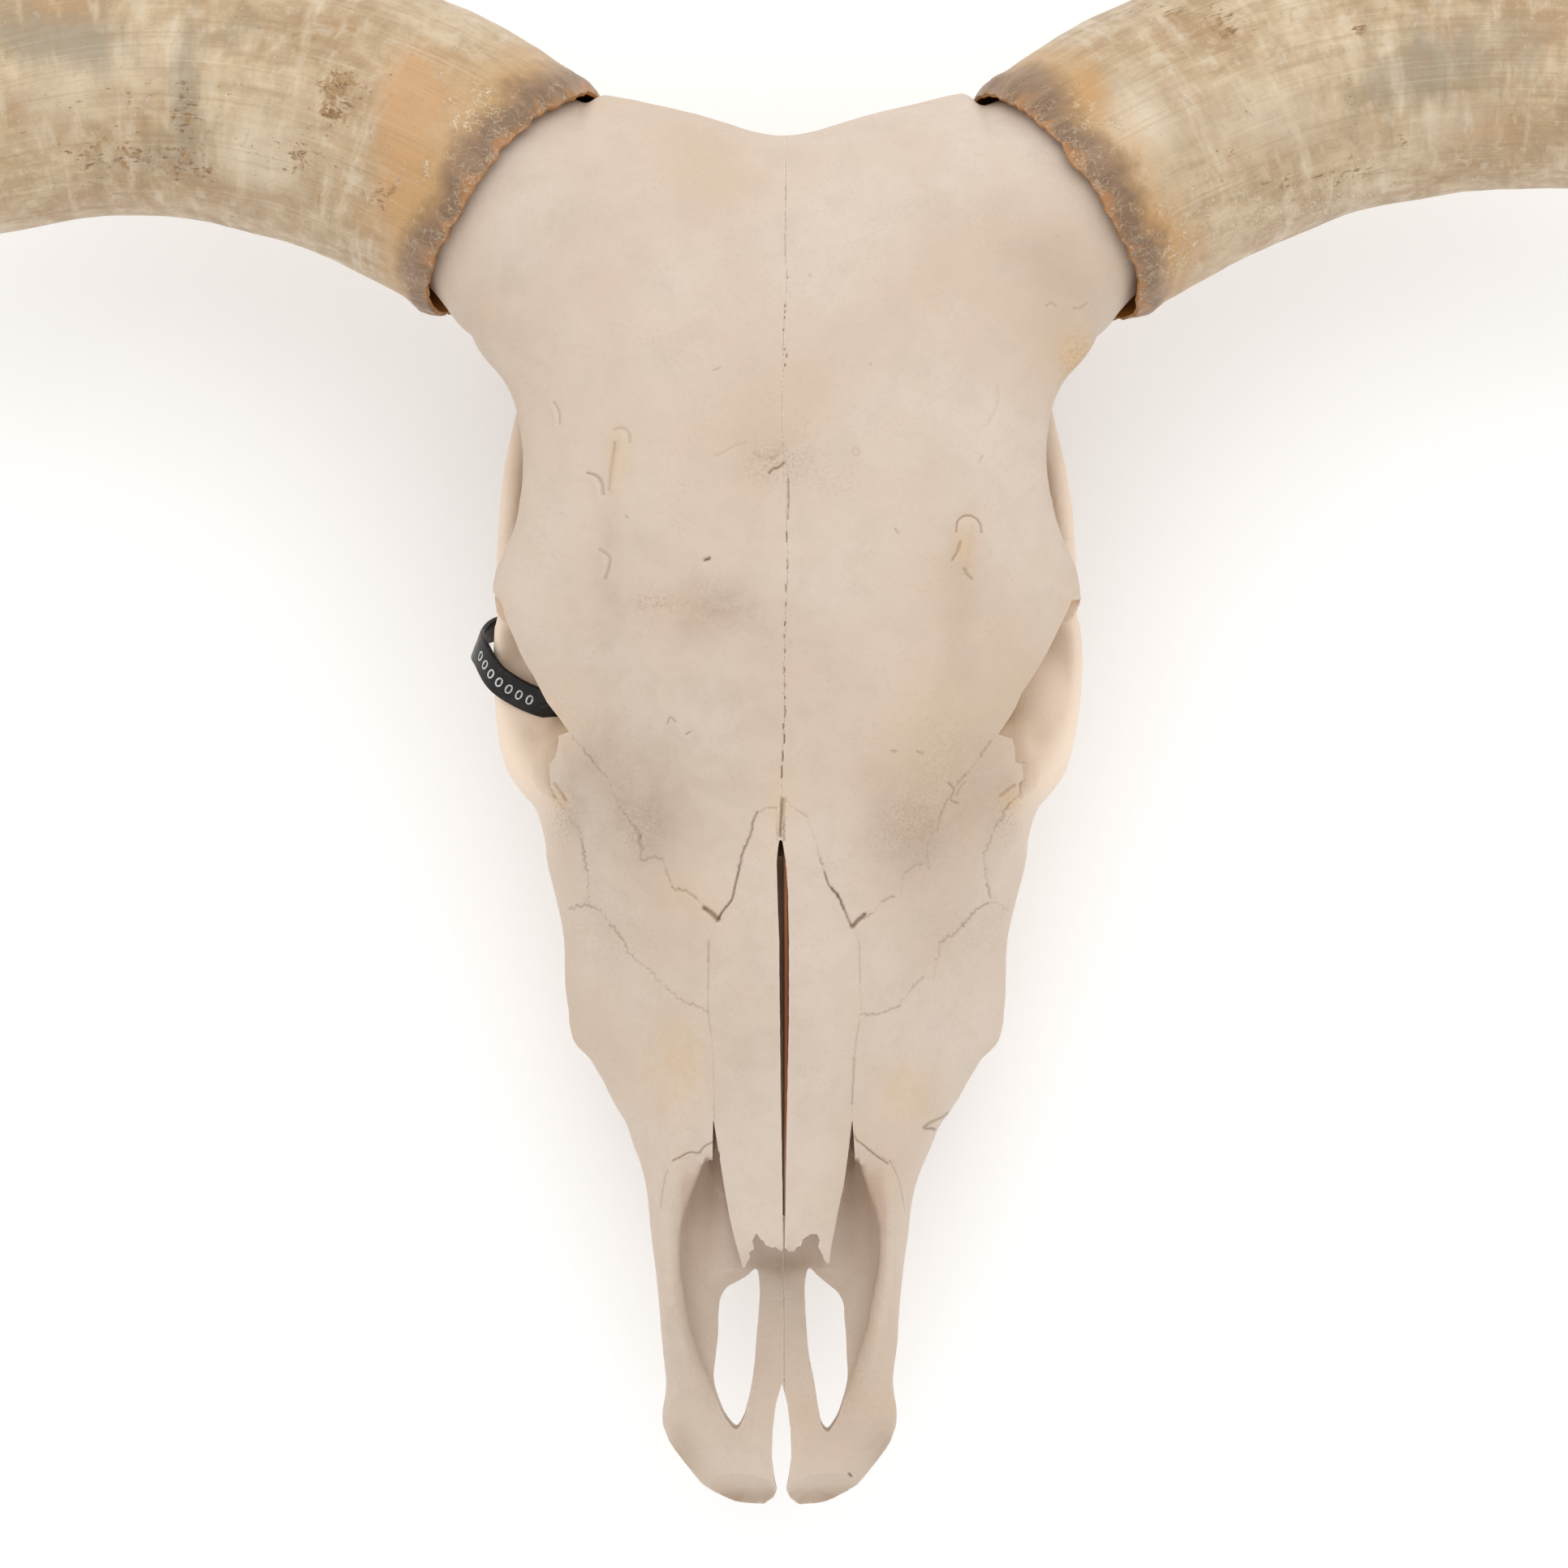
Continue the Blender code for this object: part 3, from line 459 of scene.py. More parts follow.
def horn_rings(side, profile, count, sides):
    """Round sections at count places along a profile of (distance, radius)."""
    keys, radii = zip(*profile)
    places = np.linspace(keys[0], keys[-1], count)
    widths = through(keys, radii, places)[:, 0]
    runs = horn_line(side, places + 0.5) - horn_line(side, places - 0.5)
    return ovals(horn_line(side, places), runs, widths, widths, sides)


# %% [markdown]
# ## One skin over the skull
# All forms are joined and remeshed at a bit over two millimetres. Eight rounds of smoothing melt them
# together, as bone grows. This is the step in which the skull stops being a set of shapes.


# %% Fuse the forms
FIRST_CELL, FIRST_ROUNDS = 2.2, 8


def skull_side(side):
    """The bars and lumps of one side."""
    return [
        wrapped("horn_core", horn_rings(side, CORE, 80, 60)),
        bar("orbit_rim", ORBIT_RIM, side, closed=True),
        bar("orbit_floor", ORBIT_FLOOR, side),
        bar("zygomatic_arch", ZYGOMATIC_ARCH, side),
        bar("jugular_process", JUGULAR_PROCESS, side),
        bar("pterygoid_plate", PTERYGOID_PLATE, side),
        bar("temporal_base", TEMPORAL_BASE, side),
        lump("joint_tubercle", (84, 146, 84), (20, 15, 10), side),
        lump("mastoid", (85, 190, 82), (14, 22, 22), side),
        lump("ear_passage", (88, 174, 84), (18, 10, 10), side),
        lump("tympanic_bulla", (45, 165, 50), (12, 19, 21), side),
        lump("condyle", (32, 232, 60), (18, 14, 23), side, (0, -28, 20)),
        lump("condyle_root", (28, 214, 54), (22, 24, 16), side),
        lump("muscular_tubercle", (13, 182, 41), (9, 13, 6), side),
        lump("facial_tuber", (78, -92, 96), (8, 15, 9), side),
    ]


poll = POLL_BAR + [(-x, y, z, a, b) for x, y, z, a, b in POLL_BAR[-2::-1]]
forms = [body_loft("cranium", HEAD), body_loft("muzzle", MUZZLE)]
forms += [bar("poll", poll, sides=48), bar("basal_bar", BASAL_BAR)]
skull = fused("skull", forms + both(skull_side), FIRST_CELL, FIRST_ROUNDS)
print("fused skull:", len(skull.data.vertices), "vertices")

# %% [markdown]
# ## Hollows
# The eye sockets and the temporal fossae are carved with lumps, and the nasal passage and the openings
# beside the nasal bones with bodies of their own. The floor of each eye socket is put back afterwards.
# A second, finer remesh rounds the new edges a little, as the edges of real openings are never sharp.

# %% Carve the hollows
NASAL_CAVITY = [
    (-204, [(0, 146), (12, 144), (18, 136), (24, 112), (22, 92), (0, 82)]),
    (-165, [(0, 150.5), (10, 149.5), (16, 144), (25, 122), (24, 93), (0, 83)]),
    (-140, [(0, 158), (12, 156), (19, 149), (26, 126), (26, 93), (0, 84)]),
    (-105, [(0, 168.5), (14, 166), (22, 154), (28, 126), (27, 94), (0, 86)]),
    (-65, [(0, 179), (15, 177), (25, 165), (30, 136), (26, 104), (0, 92)]),
    (-28, [(0, 187), (13, 185), (20, 174), (22, 148), (18, 122), (0, 112)]),
]
# The opening beside a nasal bone: y, its inner x, then the rim, the fold and the foot of the wall.
NOSTRIL = [
    (-133.5, 26.4, (26.9, 152), (26.6, 126), (24, 96)),
    (-139, 26.0, (28.4, 149), (28, 120), (25, 94)),
    (-145, 25.4, (29.9, 143), (29.2, 116), (25, 93)),
    (-155, 24.0, (33.2, 130), (31.5, 109), (25, 91)),
    (-169, 21.8, (37.8, 119), (34.0, 103), (26, 90)),
    (-179, 19.8, (39.0, 112), (35.0, 99), (27, 89)),
    (-189, 17.8, (38.8, 106), (35.0, 96), (27, 88)),
    (-202, 6, (36.8, 98), (33.5, 91), (27.5, 86)),
    (-216, 0, (34.2, 92.5), (31, 87), (26.5, 84)),
    (-227, 0, (30.8, 88.5), (28.5, 85), (26, 83)),
    (-237, 0, (27.4, 85.5), (26.5, 83.8), (25, 82.5)),
    (-246, 0, (24, 83.5), (23.5, 82.8), (22, 82)),
]
NOSTRIL_RINGS, WALL_POINTS = 50, 12
ABOVE_ALL = 240
SECOND_CELL, SECOND_ROUNDS = 1.9, 3


def nostril(side):
    """The space between a nasal bone and the incisive bone beside it, down to the palate."""
    stations = sorted(NOSTRIL)
    keys = [station[0] for station in stations]
    shape = np.array([(s[1], *s[2], *s[3], *s[4]) for s in stations])
    places = np.linspace(keys[0], keys[-1], NOSTRIL_RINGS)
    rings = []
    for y, (inner, rx, rz, mx, mz, fx, fz) in zip(places, through(keys, shape, places)):
        wall = through([0, 1, 2], [(rx, rz), (mx, mz), (fx, fz)], np.linspace(0, 2, WALL_POINTS))
        ring = np.vstack([(inner, ABOVE_ALL), (rx, ABOVE_ALL), wall, (inner, fz)])
        rings.append(np.column_stack([ring[:, 0] * side, np.full(len(ring), y), ring[:, 1]]))
    return wrapped("nostril", rings)


def sided(outline, side):
    """A plan outline of the left side, or its mirror image."""
    return np.asarray(outline, float) * (side, 1)


def hollows_of(side):
    return [
        lump("orbit", (92, 38, 141), (40, 29, 25), side, (0, -14, -20)),
        lump("orbit_depth", (64, 54, 138), (34, 26, 22), side, (0, 0, 20)),
        lump("temporal_fossa", (82, 118, 132), (23, 52, 26), side),
        lump("fossa_depth", (84, 92, 102), (17, 50, 24), side),
        nostril(side),
    ]


hollows = [
    body_loft("nasal_cavity", NASAL_CAVITY),
    lump("great_foramen", (0, 236, 70), (19, 62, 20), turn=(12, 0, 0)),
    lump("choana", (0, 30, 48), (16, 44, 25), turn=(-38, 0, 0)),
]
carved(skull, united(hollows + both(hollows_of)))
floors = [lump("orbital_floor", (96.5, 36, 109), (18.5, 46, 13), side) for side in (1, -1)]
floors += [lump("socket_corner", (86, 2, 118), (13, 24, 22), side) for side in (1, -1)]
carved(skull, united(floors), "UNION")
skull = fused("skull", [skull], SECOND_CELL, SECOND_ROUNDS)
print("carved skull:", len(skull.data.vertices), "vertices")

# %% [markdown]
# ## More faces where the eye goes
# The forehead and face fill the picture and carry the finest marks, so their faces are split once
# more, to about a millimetre. The inside of the nose, the cores in their sheaths and the underside
# keep larger faces. The split is smooth: new points are pushed onto the curve of the old surface.


# %% Finer upper side
UPPER = 60.0  # nothing below this height in mm shows in the picture


def corners_of(obj):
    """The mesh's points in mm."""
    points = np.empty(len(obj.data.vertices) * 3)
    obj.data.vertices.foreach_get("co", points)
    return points.reshape(-1, 3) / MM


def move_corners(obj, points):
    obj.data.vertices.foreach_set("co", (points * MM).ravel())
    obj.data.update()


def normals_of(obj):
    normals = np.empty(len(obj.data.vertices) * 3, np.float32)
    obj.data.vertex_normals.foreach_get("vector", normals)
    return normals.reshape(-1, 3).astype(float)


def split_faces(obj, chosen, smoothness=1.0):
    """Splits the chosen faces in four."""
    pick(obj)
    obj.data.polygons.foreach_set("select", chosen)
    for layer in (obj.data.vertices, obj.data.edges):
        layer.foreach_set("select", np.zeros(len(layer), bool))
    bpy.ops.object.mode_set(mode="EDIT")
    bpy.ops.mesh.select_mode(type="FACE")
    bpy.ops.mesh.subdivide(number_cuts=1, smoothness=smoothness)
    bpy.ops.object.mode_set(mode="OBJECT")


def face_table(obj):
    """The middle, in mm, and the normal of each face."""
    count = len(obj.data.polygons)
    middles, normals = np.empty(count * 3), np.empty(count * 3)
    obj.data.polygons.foreach_get("center", middles)
    obj.data.polygons.foreach_get("normal", normals)
    return middles.reshape(-1, 3) / MM, normals.reshape(-1, 3)


def in_sheath(points, margin=6.0):
    """Which points lie on a horn core, hidden inside its sheath."""
    hidden = np.zeros(len(points), bool)
    for side in (1, -1):
        base, next_point = horn_line(side, [margin, margin + 1.0])
        hidden |= (points - base) @ (next_point - base) > 0
    return hidden


middles, face_normals = face_table(skull)
upper = (face_normals[:, 2] > 0.2) & (middles[:, 2] > UPPER) & ~in_sheath(middles)
split_faces(skull, upper)
print("finer skull:", len(skull.data.vertices), "vertices")

# %% [markdown]
# ## The slight unevenness of real bone
# No animal is symmetric. A gentle sideways wave, a millimetre or so, bends the midline as in the
# photo. Then two Displace modifiers with cloud textures raise and sink the surface: one broad and low,
# which makes light play over the forehead, and one of a few millimetres, like old growth.

# %% Bend and broad relief
BEND_AT = [-290, -150, -125, -90, 0, 60, 110, 150, 300]
BEND_BY = [-1.3, -1.0, 0.2, 0.8, 1.0, 1.2, 0.8, 0, 0]
# Size, depth of detail and strength of the two reliefs.
SWELL = (38, 1, 1.5)
RIPPLE = (9, 2, 0.35)


def bent(points):
    """The points with the sideways wave of the midline."""
    moved = np.array(points, float)
    moved[:, 0] += through(BEND_AT, BEND_BY, moved[:, 1])[:, 0]
    return moved


def add_relief(obj, name, size, depth, strength):
    texture = bpy.data.textures.new(name, "CLOUDS")
    texture.noise_scale = size * MM
    texture.noise_depth = depth
    finished(obj, "DISPLACE", texture=texture, strength=strength * MM, mid_level=0.5)


move_corners(skull, bent(corners_of(skull)))
add_relief(skull, "swell", *SWELL)
add_relief(skull, "ripple", *RIPPLE)
print("relief added")

# %% [markdown]
# ## Crisp edges
# The brow and the lacrimal bone end in a thin edge over the bowl of the eye socket, and the front tips
# of the incisive bones are scooped out. A remesh would round these edges, so they're cut after it. The
# bowl is a large lump, limited in plan to what lies outside the edge. The openings through the palate
# are prisms.


# %% Cut the crisp edges
BROW_EDGE = {
    1: [(1336, 737), (1319, 739), (1312, 757), (1304, 772), (1295, 791), (1287, 807), (1276, 826),
        (1267, 840), (1257, 855), (1250, 872), (1243, 884), (1229, 905)],
    -1: [(598, 728), (610, 731), (620, 745), (626, 766), (635, 787), (641, 803), (647, 815), (655, 830),
         (662, 842), (672, 862), (690, 885), (702, 902)],
}  # fmt: skip
LACRIMAL_LOBES = {
    1: [(1245, 911), (1249, 922), (1250, 939), (1259, 942), (1261, 960), (1255, 965), (1257, 982)],
    -1: [(690, 907), (682, 915), (677, 937), (677, 950), (679, 970), (685, 982)],
}
# The openings through the palate.
PALATINE_FISSURE = {
    1: [(997, 1562), (992, 1580), (992, 1605), (994, 1642), (997, 1674), (1004, 1710), (1009, 1742),
        (1013, 1758), (1019, 1765), (1028, 1755), (1039, 1728), (1045, 1701), (1044, 1678), (1043, 1651),
        (1041, 1628), (1039, 1605), (1032, 1592), (1021, 1583), (1009, 1573)],
    -1: [(931, 1563), (936, 1587), (935, 1614), (932, 1651), (928, 1696), (921, 1733), (916, 1749),
         (907, 1762), (896, 1751), (885, 1728), (879, 1705), (881, 1678), (884, 1651), (885, 1619),
         (889, 1596), (896, 1586), (907, 1580), (919, 1573)],
}  # fmt: skip


def plan_distance(points, line):
    """How far points lie from a line, seen from above."""
    best = np.full(len(points), np.inf)
    for a, b in zip(line[:-1], line[1:]):
        run = b - a
        t = np.clip(((points - a) @ run) / max(run @ run, 1e-9), 0, 1)
        best = np.minimum(best, np.linalg.norm(points - a - t[:, None] * run, axis=1))
    return best


BROW_HEIGHT = 165.0
LOBE_HEIGHT = 150.0
PALATE_HEIGHT = 83.0
plate_edge, cutters = {}, []
for side in (1, -1):
    brow = at_height(BROW_EDGE[side], BROW_HEIGHT)
    lobes = at_height(LACRIMAL_LOBES[side], LOBE_HEIGHT)
    plate_edge[side] = np.vstack([brow, lobes])
    outline = np.vstack([plate_edge[side], sided([(95, -14), (100, -60), (160, -60), (160, 71)], side)])
    bowl = lump("bowl", (93, 38, 175), (36, 57, 48), side, (0, 0, 0), 72)
    cutters.append(carved(bowl, prism("outside", outline, 60, 300), "INTERSECT"))
    cutters.append(lump("front_scoop", (22, -301, 90), (46, 30, 29), side, (0, 0, -8), 60))
    fissure = closed_curve(at_height(PALATINE_FISSURE[side], PALATE_HEIGHT), 4)
    cutters.append(prism("palatine_fissure", fissure, 20, 120))
carved(skull, united(cutters))
print("edges cut:", len(skull.data.vertices), "vertices")

# %% [markdown]
# ## A soft socket under a thin edge
# Where the bowl meets the floor of the eye socket, the cut leaves a crease that real bone doesn't have.
# Each point there is moved towards the mean of its neighbours, round after round. The pull is weaker
# near the thin edge and beyond the rim, so that these keep their shape.

# %% Melt the bowl's rim
SOCKET_Y, SOCKET_Z = (-26, 84), (100, 158)
RIM_X, RIM_WIDTH, RIM_PULL = 112, 8, 0.25
EDGE_KEPT, EDGE_FADE = 1.0, 3
SOCKET_ROUNDS = 80


def edges_of(obj):
    """The two points of each edge, by their numbers."""
    edges = np.empty(len(obj.data.edges) * 2, np.int64)
    obj.data.edges.foreach_get("vertices", edges)
    return edges.reshape(-1, 2)


def neighbour_sums(values, starts, ends, count):
    """For each point, the sum of the values at the far ends of its edges."""
    return np.column_stack([np.bincount(starts, column[ends], count) for column in values.T])


points = corners_of(skull)
weight = np.zeros(len(points))
for side in (1, -1):
    edge = plate_edge[side][np.argsort(plate_edge[side][:, 1])]
    outside = points[:, 0] * side > np.interp(points[:, 1], edge[:, 1], edge[:, 0] * side)
    for axis, (low, high) in ((1, SOCKET_Y), (2, SOCKET_Z)):
        outside &= (points[:, axis] > low) & (points[:, axis] < high)
    found = np.nonzero(outside)[0]
    inner_side = np.clip((RIM_X - points[found, 0] * side) / RIM_WIDTH, RIM_PULL, 1)
    from_edge = plan_distance(points[found, :2], edge)
    weight[found] = np.clip((from_edge - EDGE_KEPT) / EDGE_FADE, 0, 1) * inner_side
edges = edges_of(skull)
edges = edges[(weight[edges] > 0).any(axis=1)]
local, ends = np.unique(edges, return_inverse=True)
ends = ends.reshape(-1, 2)
from_ends, to_ends = np.concatenate([ends, ends[:, ::-1]]).T
shape, pull = points[local], 0.5 * weight[local, None]
count = np.bincount(from_ends, minlength=len(local))[:, None]
for _ in range(SOCKET_ROUNDS):
    mean = neighbour_sums(shape, from_ends, to_ends, len(local)) / count
    shape = shape + pull * (mean - shape)
points[local] = shape
move_corners(skull, points)
print("points melted:", len(local))

# %% [markdown]
# ## Marks read from the picture
# Sutures, vessel grooves and pits are given as pixels of the photo. A ray from the lens through each
# pixel finds the point of the bone where the mark lies, so the mark sits on the surface and keeps its
# place from every side.


# %% Find places on the bone
def on_bone(pixels, fallback=150.0):
    """The points of the skull, in mm, that show at these pixels."""
    eye = Vector((0, 0, EYE_HEIGHT * MM))
    places = []
    for px, py in pixels:
        ray = photo_ray(px, py)
        hit, place, _, _ = skull.ray_cast(eye, ray)
        if not hit or place.z / MM < UPPER:
            place = eye + ray * ((EYE_HEIGHT - fallback) * MM / -ray.z)
        places.append(tuple(c / MM for c in place))
    return np.array(places)


# Sutures, one list for each side of the animal: +1 shows on the right of the picture.
NASAL_TOP = {
    1: [(966, 1035), (966, 1010), (967, 984), (974, 992), (985, 1000), (995, 1007), (1000, 1025),
        (1006, 1040), (1010, 1055), (1016, 1075), (1022, 1092), (1032, 1102), (1040, 1120), (1050, 1145)],
    -1: [(958, 1035), (957, 1015), (957, 995), (945, 995), (935, 1000), (929, 1007), (926, 1025),
         (920, 1040), (915, 1052), (910, 1070), (905, 1090), (900, 1110), (890, 1122), (883, 1135)],
}  # fmt: skip
NASAL_SIDE_LINE = {
    1: [(1059, 1160), (1061, 1250), (1055, 1280), (1052, 1310), (1049, 1385)],
    -1: [(873, 1160), (872, 1250), (877, 1280), (879, 1310), (880, 1385)],
}
NASAL_INNER = {
    1: [(967, 1545), (968, 1460), (970, 1350), (972, 1260), (972, 1160), (971, 1100), (968, 1060),
        (964, 1036)],
    -1: [(965, 1545), (964, 1460), (962, 1350), (961, 1260), (960, 1160), (958, 1100), (957, 1060),
         (960, 1036)],
}  # fmt: skip
FRONTAL_FOOT = {
    1: [(1065, 1132), (1077, 1125), (1085, 1112), (1097, 1105), (1110, 1105), (1112, 1080), (1127, 1066),
        (1140, 1065), (1145, 1072), (1142, 1045), (1155, 1020), (1160, 1000), (1177, 970), (1204, 937),
        (1227, 906)],
    -1: [(870, 1120), (857, 1107), (845, 1097), (830, 1096), (825, 1085), (817, 1060), (805, 1055),
         (790, 1062), (787, 1025), (775, 1010), (766, 997), (747, 957), (732, 940), (705, 907)],
}  # fmt: skip
LACRIMAL_FOOT = {
    1: [(1240, 1120), (1222, 1112), (1212, 1115), (1200, 1125), (1185, 1140), (1182, 1147), (1160, 1160),
        (1150, 1205), (1135, 1205), (1122, 1220), (1107, 1240), (1082, 1250), (1060, 1251)],
    -1: [(702, 1120), (722, 1115), (735, 1120), (747, 1132), (760, 1150), (770, 1160), (775, 1175),
         (802, 1197), (812, 1210), (827, 1222), (840, 1235), (860, 1240), (873, 1250)],
}  # fmt: skip
LACRIMAL_EDGE = {
    1: [(1255, 980), (1240, 995), (1235, 1007), (1225, 1020), (1220, 1035), (1212, 1055), (1215, 1080),
        (1220, 1105)],
    -1: [(682, 980), (695, 995), (705, 1015), (715, 1022), (717, 1035), (720, 1060), (725, 1085),
         (725, 1110)],
}  # fmt: skip
MIDLINE = [
    (966, 0), (968, 227), (967, 300), (970, 342), (967, 385), (965, 406), (965, 454), (963, 496),
    (963, 533), (968, 545), (970, 580), (969, 640), (971, 700), (968, 760), (966, 820), (967, 880),
    (964, 930), (963, 960), (962, 1000), (962, 1035),
]  # fmt: skip
midline = on_bone(MIDLINE)[:, :2]
print("midline found at", len(midline), "points")

# %% [markdown]
# ## Grooves, pits and ridges
# Vessels left grooves in the forehead, and small holes let nerves through. Each mark is a line in the
# picture with a width and a depth in millimetres, and a stain, because dirt collects in a hollow.
# A negative depth gives a ridge. Faces near the marks are split once more, so the marks are crisp.

# %% The marks
MARKS = [
    # width, depth, stain, pixels
    (0.6, 0.8, 0.55, [(948, 583), (952, 578), (959, 576), (966, 570)]),
    (0.9, 0.5, 0.1, [(930, 560), (944, 566), (958, 560), (964, 548)]),
    (0.5, 0.5, 0.15, [(683, 496), (689, 507), (690, 522)]),
    (0.9, -0.4, 0.0, [(679, 500), (684, 512), (685, 524)]),
    (0.6, 0.5, 0.1, [(757, 529), (766, 527), (774, 533), (776, 545)]),
    (0.7, 0.8, 0.06, [(757, 546), (754, 565), (751, 585), (749, 603)]),
    (2.0, -0.8, 0.0, [(767, 540), (764, 560), (760, 582), (756, 600)]),
    (0.6, 0.8, 0.2, [(724, 583), (734, 586), (740, 594), (742, 608)]),
    (1.2, -0.5, 0.0, [(729, 592), (735, 600), (736, 612)]),
    (0.5, 0.5, 0.25, [(738, 677), (751, 688), (749, 700), (745, 713)]),
    (1.1, -0.5, 0.0, [(742, 686), (743, 700), (738, 716)]),
    (0.5, 0.4, 0.3, [(771, 636), (773, 638)]),
    (0.7, 1.1, 0.9, [(869, 690), (874, 688)]),
    (0.5, 0.3, 0.3, [(880, 456), (887, 453)]),
    (0.5, 0.25, 0.1, [(880, 562), (894, 556), (906, 549), (918, 545)]),
    (0.45, 0.7, 0.3, [(1179, 655), (1180, 643), (1190, 635), (1201, 637), (1208, 645), (1210, 656)]),
    (0.6, 0.8, 0.25, [(1184, 668), (1180, 680), (1174, 690)]),
    (1.8, -0.7, 0.0, [(1194, 646), (1192, 665), (1190, 690)]),
    (0.6, 0.7, 0.25, [(1189, 701), (1193, 708), (1198, 713)]),
    (0.5, 0.3, 0.1, [(1210, 562), (1207, 570)]),
    (0.7, 0.35, 0.05, [(1229, 475), (1230, 492), (1224, 512), (1216, 524)]),
    (0.5, 0.4, 0.15, [(1290, 377), (1296, 373), (1301, 377)]),
    (0.6, 0.45, 0.2, [(1323, 380), (1332, 379), (1339, 374)]),
    (0.5, 0.25, 0.12, [(1049, 557), (1054, 562), (1059, 557), (1054, 552), (1049, 557)]),
    (0.5, 0.35, 0.3, [(1103, 652), (1107, 657)]),
    (0.5, 0.3, 0.2, [(997, 339), (998, 341)]),
    (0.5, 0.3, 0.2, [(1072, 448), (1073, 450)]),
    (0.6, 0.7, 0.9, [(1046, 1816), (1049, 1819)]),
    (0.7, 0.8, 0.6, [(1174, 1381), (1160, 1386), (1152, 1392)]),
    (0.7, 0.9, 0.35, [(1234, 980), (1241, 974), (1250, 968)]),
    (0.7, 0.8, 0.4, [(683, 966), (690, 975), (697, 986)]),
    (0.5, 0.5, 0.3, [(782, 1022), (788, 1030), (785, 1038), (793, 1046)]),
    (0.5, 0.5, 0.35, [(1169, 965), (1176, 975), (1171, 984), (1180, 990)]),
    (0.4, 0.4, 0.3, [(1189, 964), (1182, 972), (1179, 980)]),
    (0.5, 0.4, 0.5, [(1099, 925), (1104, 926)]),
    (0.5, 0.4, 0.3, [(1130, 926), (1138, 929)]),
    (0.5, 0.4, 0.35, [(822, 892), (826, 884), (832, 889)]),
    (0.5, 0.4, 0.3, [(845, 905), (850, 902)]),
    (0.4, 0.3, 0.3, [(822, 1442), (818, 1458), (814, 1488)]),
    (0.4, 0.3, 0.3, [(1096, 1430), (1104, 1445), (1110, 1465), (1114, 1490)]),
    # Open cracks beside the nasal bones and at the tops of the incisive bones.
    (0.9, 1.6, 1.0, [(867, 1119), (876, 1125), (884, 1133)]),
    (0.8, 1.6, 1.0, [(1051, 1142), (1058, 1134), (1066, 1127)]),
    (0.5, 0.8, 0.75, [(911, 1070), (906, 1090), (901, 1110), (891, 1122), (884, 1133)]),
    (0.45, 0.6, 0.6, [(1016, 1075), (1022, 1092), (1032, 1102), (1040, 1120), (1050, 1142)]),
    (0.4, 0.6, 0.55, [(829, 1430), (838, 1426), (850, 1420), (861, 1421), (866, 1414), (879, 1407)]),
    (0.4, 0.6, 0.55, [(1051, 1396), (1055, 1404), (1063, 1410), (1072, 1418), (1082, 1426), (1094, 1434)]),
    (0.8, 1.0, 0.8, [(961, 1030), (963, 1000), (964, 985)]),
]
# The grooves of the vessels over the eyes, wide and shallow: width, depth, pixels.
GROOVES = [
    (5.5, 0.9, [(735, 600), (742, 680), (752, 760), (768, 850), (790, 950), (806, 1030)]),
    (5.5, 0.8, [(1196, 640), (1192, 720), (1182, 800), (1163, 880), (1142, 960), (1122, 1030)]),
    (7.0, -0.8, [(700, 480), (705, 600), (712, 720), (722, 820)]),
    (7.0, -0.8, [(1238, 480), (1232, 600), (1228, 720), (1218, 820)]),
    (9.0, 0.7, [(850, 735), (880, 745), (905, 752)]),
]
MIDLINE_PITS = [
    (0.35, [(968, 229, 246), (968, 269, 282), (967, 289, 318)]),
    (0.9, [(970, 341, 343), (967, 376, 378), (967, 383, 385), (966, 391, 392), (965, 406, 407)]),
    (0.9, [(966, 430, 431), (969, 437, 440), (967, 449, 451)]),
    (0.8, [(971, 590, 640), (969, 655, 668), (970, 690, 701), (968, 720, 728), (968, 742, 747)]),
    (1.0, [(967, 766, 770), (966, 782, 786), (967, 800, 804), (966, 822, 829), (967, 842, 846)]),
    (1.0, [(967, 858, 861), (967, 870, 884), (965, 892, 897)]),
    (1.0, [(966, 905, 916), (964, 925, 938), (963, 944, 958)]),
]
SUTURE_STAIN = {
    "nasal_top": 0.8,
    "nasal_side": 0.45,
    "frontal_foot": 0.4,
    "lacrimal_foot": 0.45,
    "lacrimal_edge": 0.4,
}
PIT_WIDTH = 0.32


def toothed(line, step, depth, seed):
    """A line with small uneven teeth, as two bones interlock along a suture."""
    line = np.asarray(line, float)[:, :2]
    keys = lengths(line)
    count = max(2, round(keys[-1] / step))
    random = np.random.default_rng(seed)
    places = np.cumsum(random.uniform(0.35, 1.65, count + 1))
    places = (places - places[0]) / (places[-1] - places[0]) * keys[-1]
    points = np.column_stack([np.interp(places, keys, column) for column in line.T])
    run = np.gradient(points, axis=0)
    run /= np.linalg.norm(run, axis=1)[:, None]
    across = np.column_stack([-run[:, 1], run[:, 0]])
    swing = random.uniform(-0.2, 1.0, count + 1) * np.where(np.arange(count + 1) % 2, 1, -1) * depth
    swing[[0, -1]] = 0
    return points + across * swing[:, None]


# Each suture's visible line on the bone, with its teeth: step and depth in mm.
sutures = {}
for side in (1, -1):
    sutures["nasal_top", side] = toothed(on_bone(NASAL_TOP[side]), 1.6, 0.35, 11 + side)
    sutures["nasal_side", side] = toothed(on_bone(NASAL_SIDE_LINE[side]), 3.0, 0.15, 14 + side)
    sutures["nasal_inner", side] = toothed(on_bone(NASAL_INNER[side]), 4.0, 0.08, 17 + side)
    sutures["frontal_foot", side] = toothed(on_bone(FRONTAL_FOOT[side]), 1.3, 0.45, 21 + side)
    sutures["lacrimal_foot", side] = toothed(on_bone(LACRIMAL_FOOT[side]), 1.2, 0.8, 31 + side)
    sutures["lacrimal_edge", side] = toothed(on_bone(LACRIMAL_EDGE[side]), 1.3, 0.7, 41 + side)
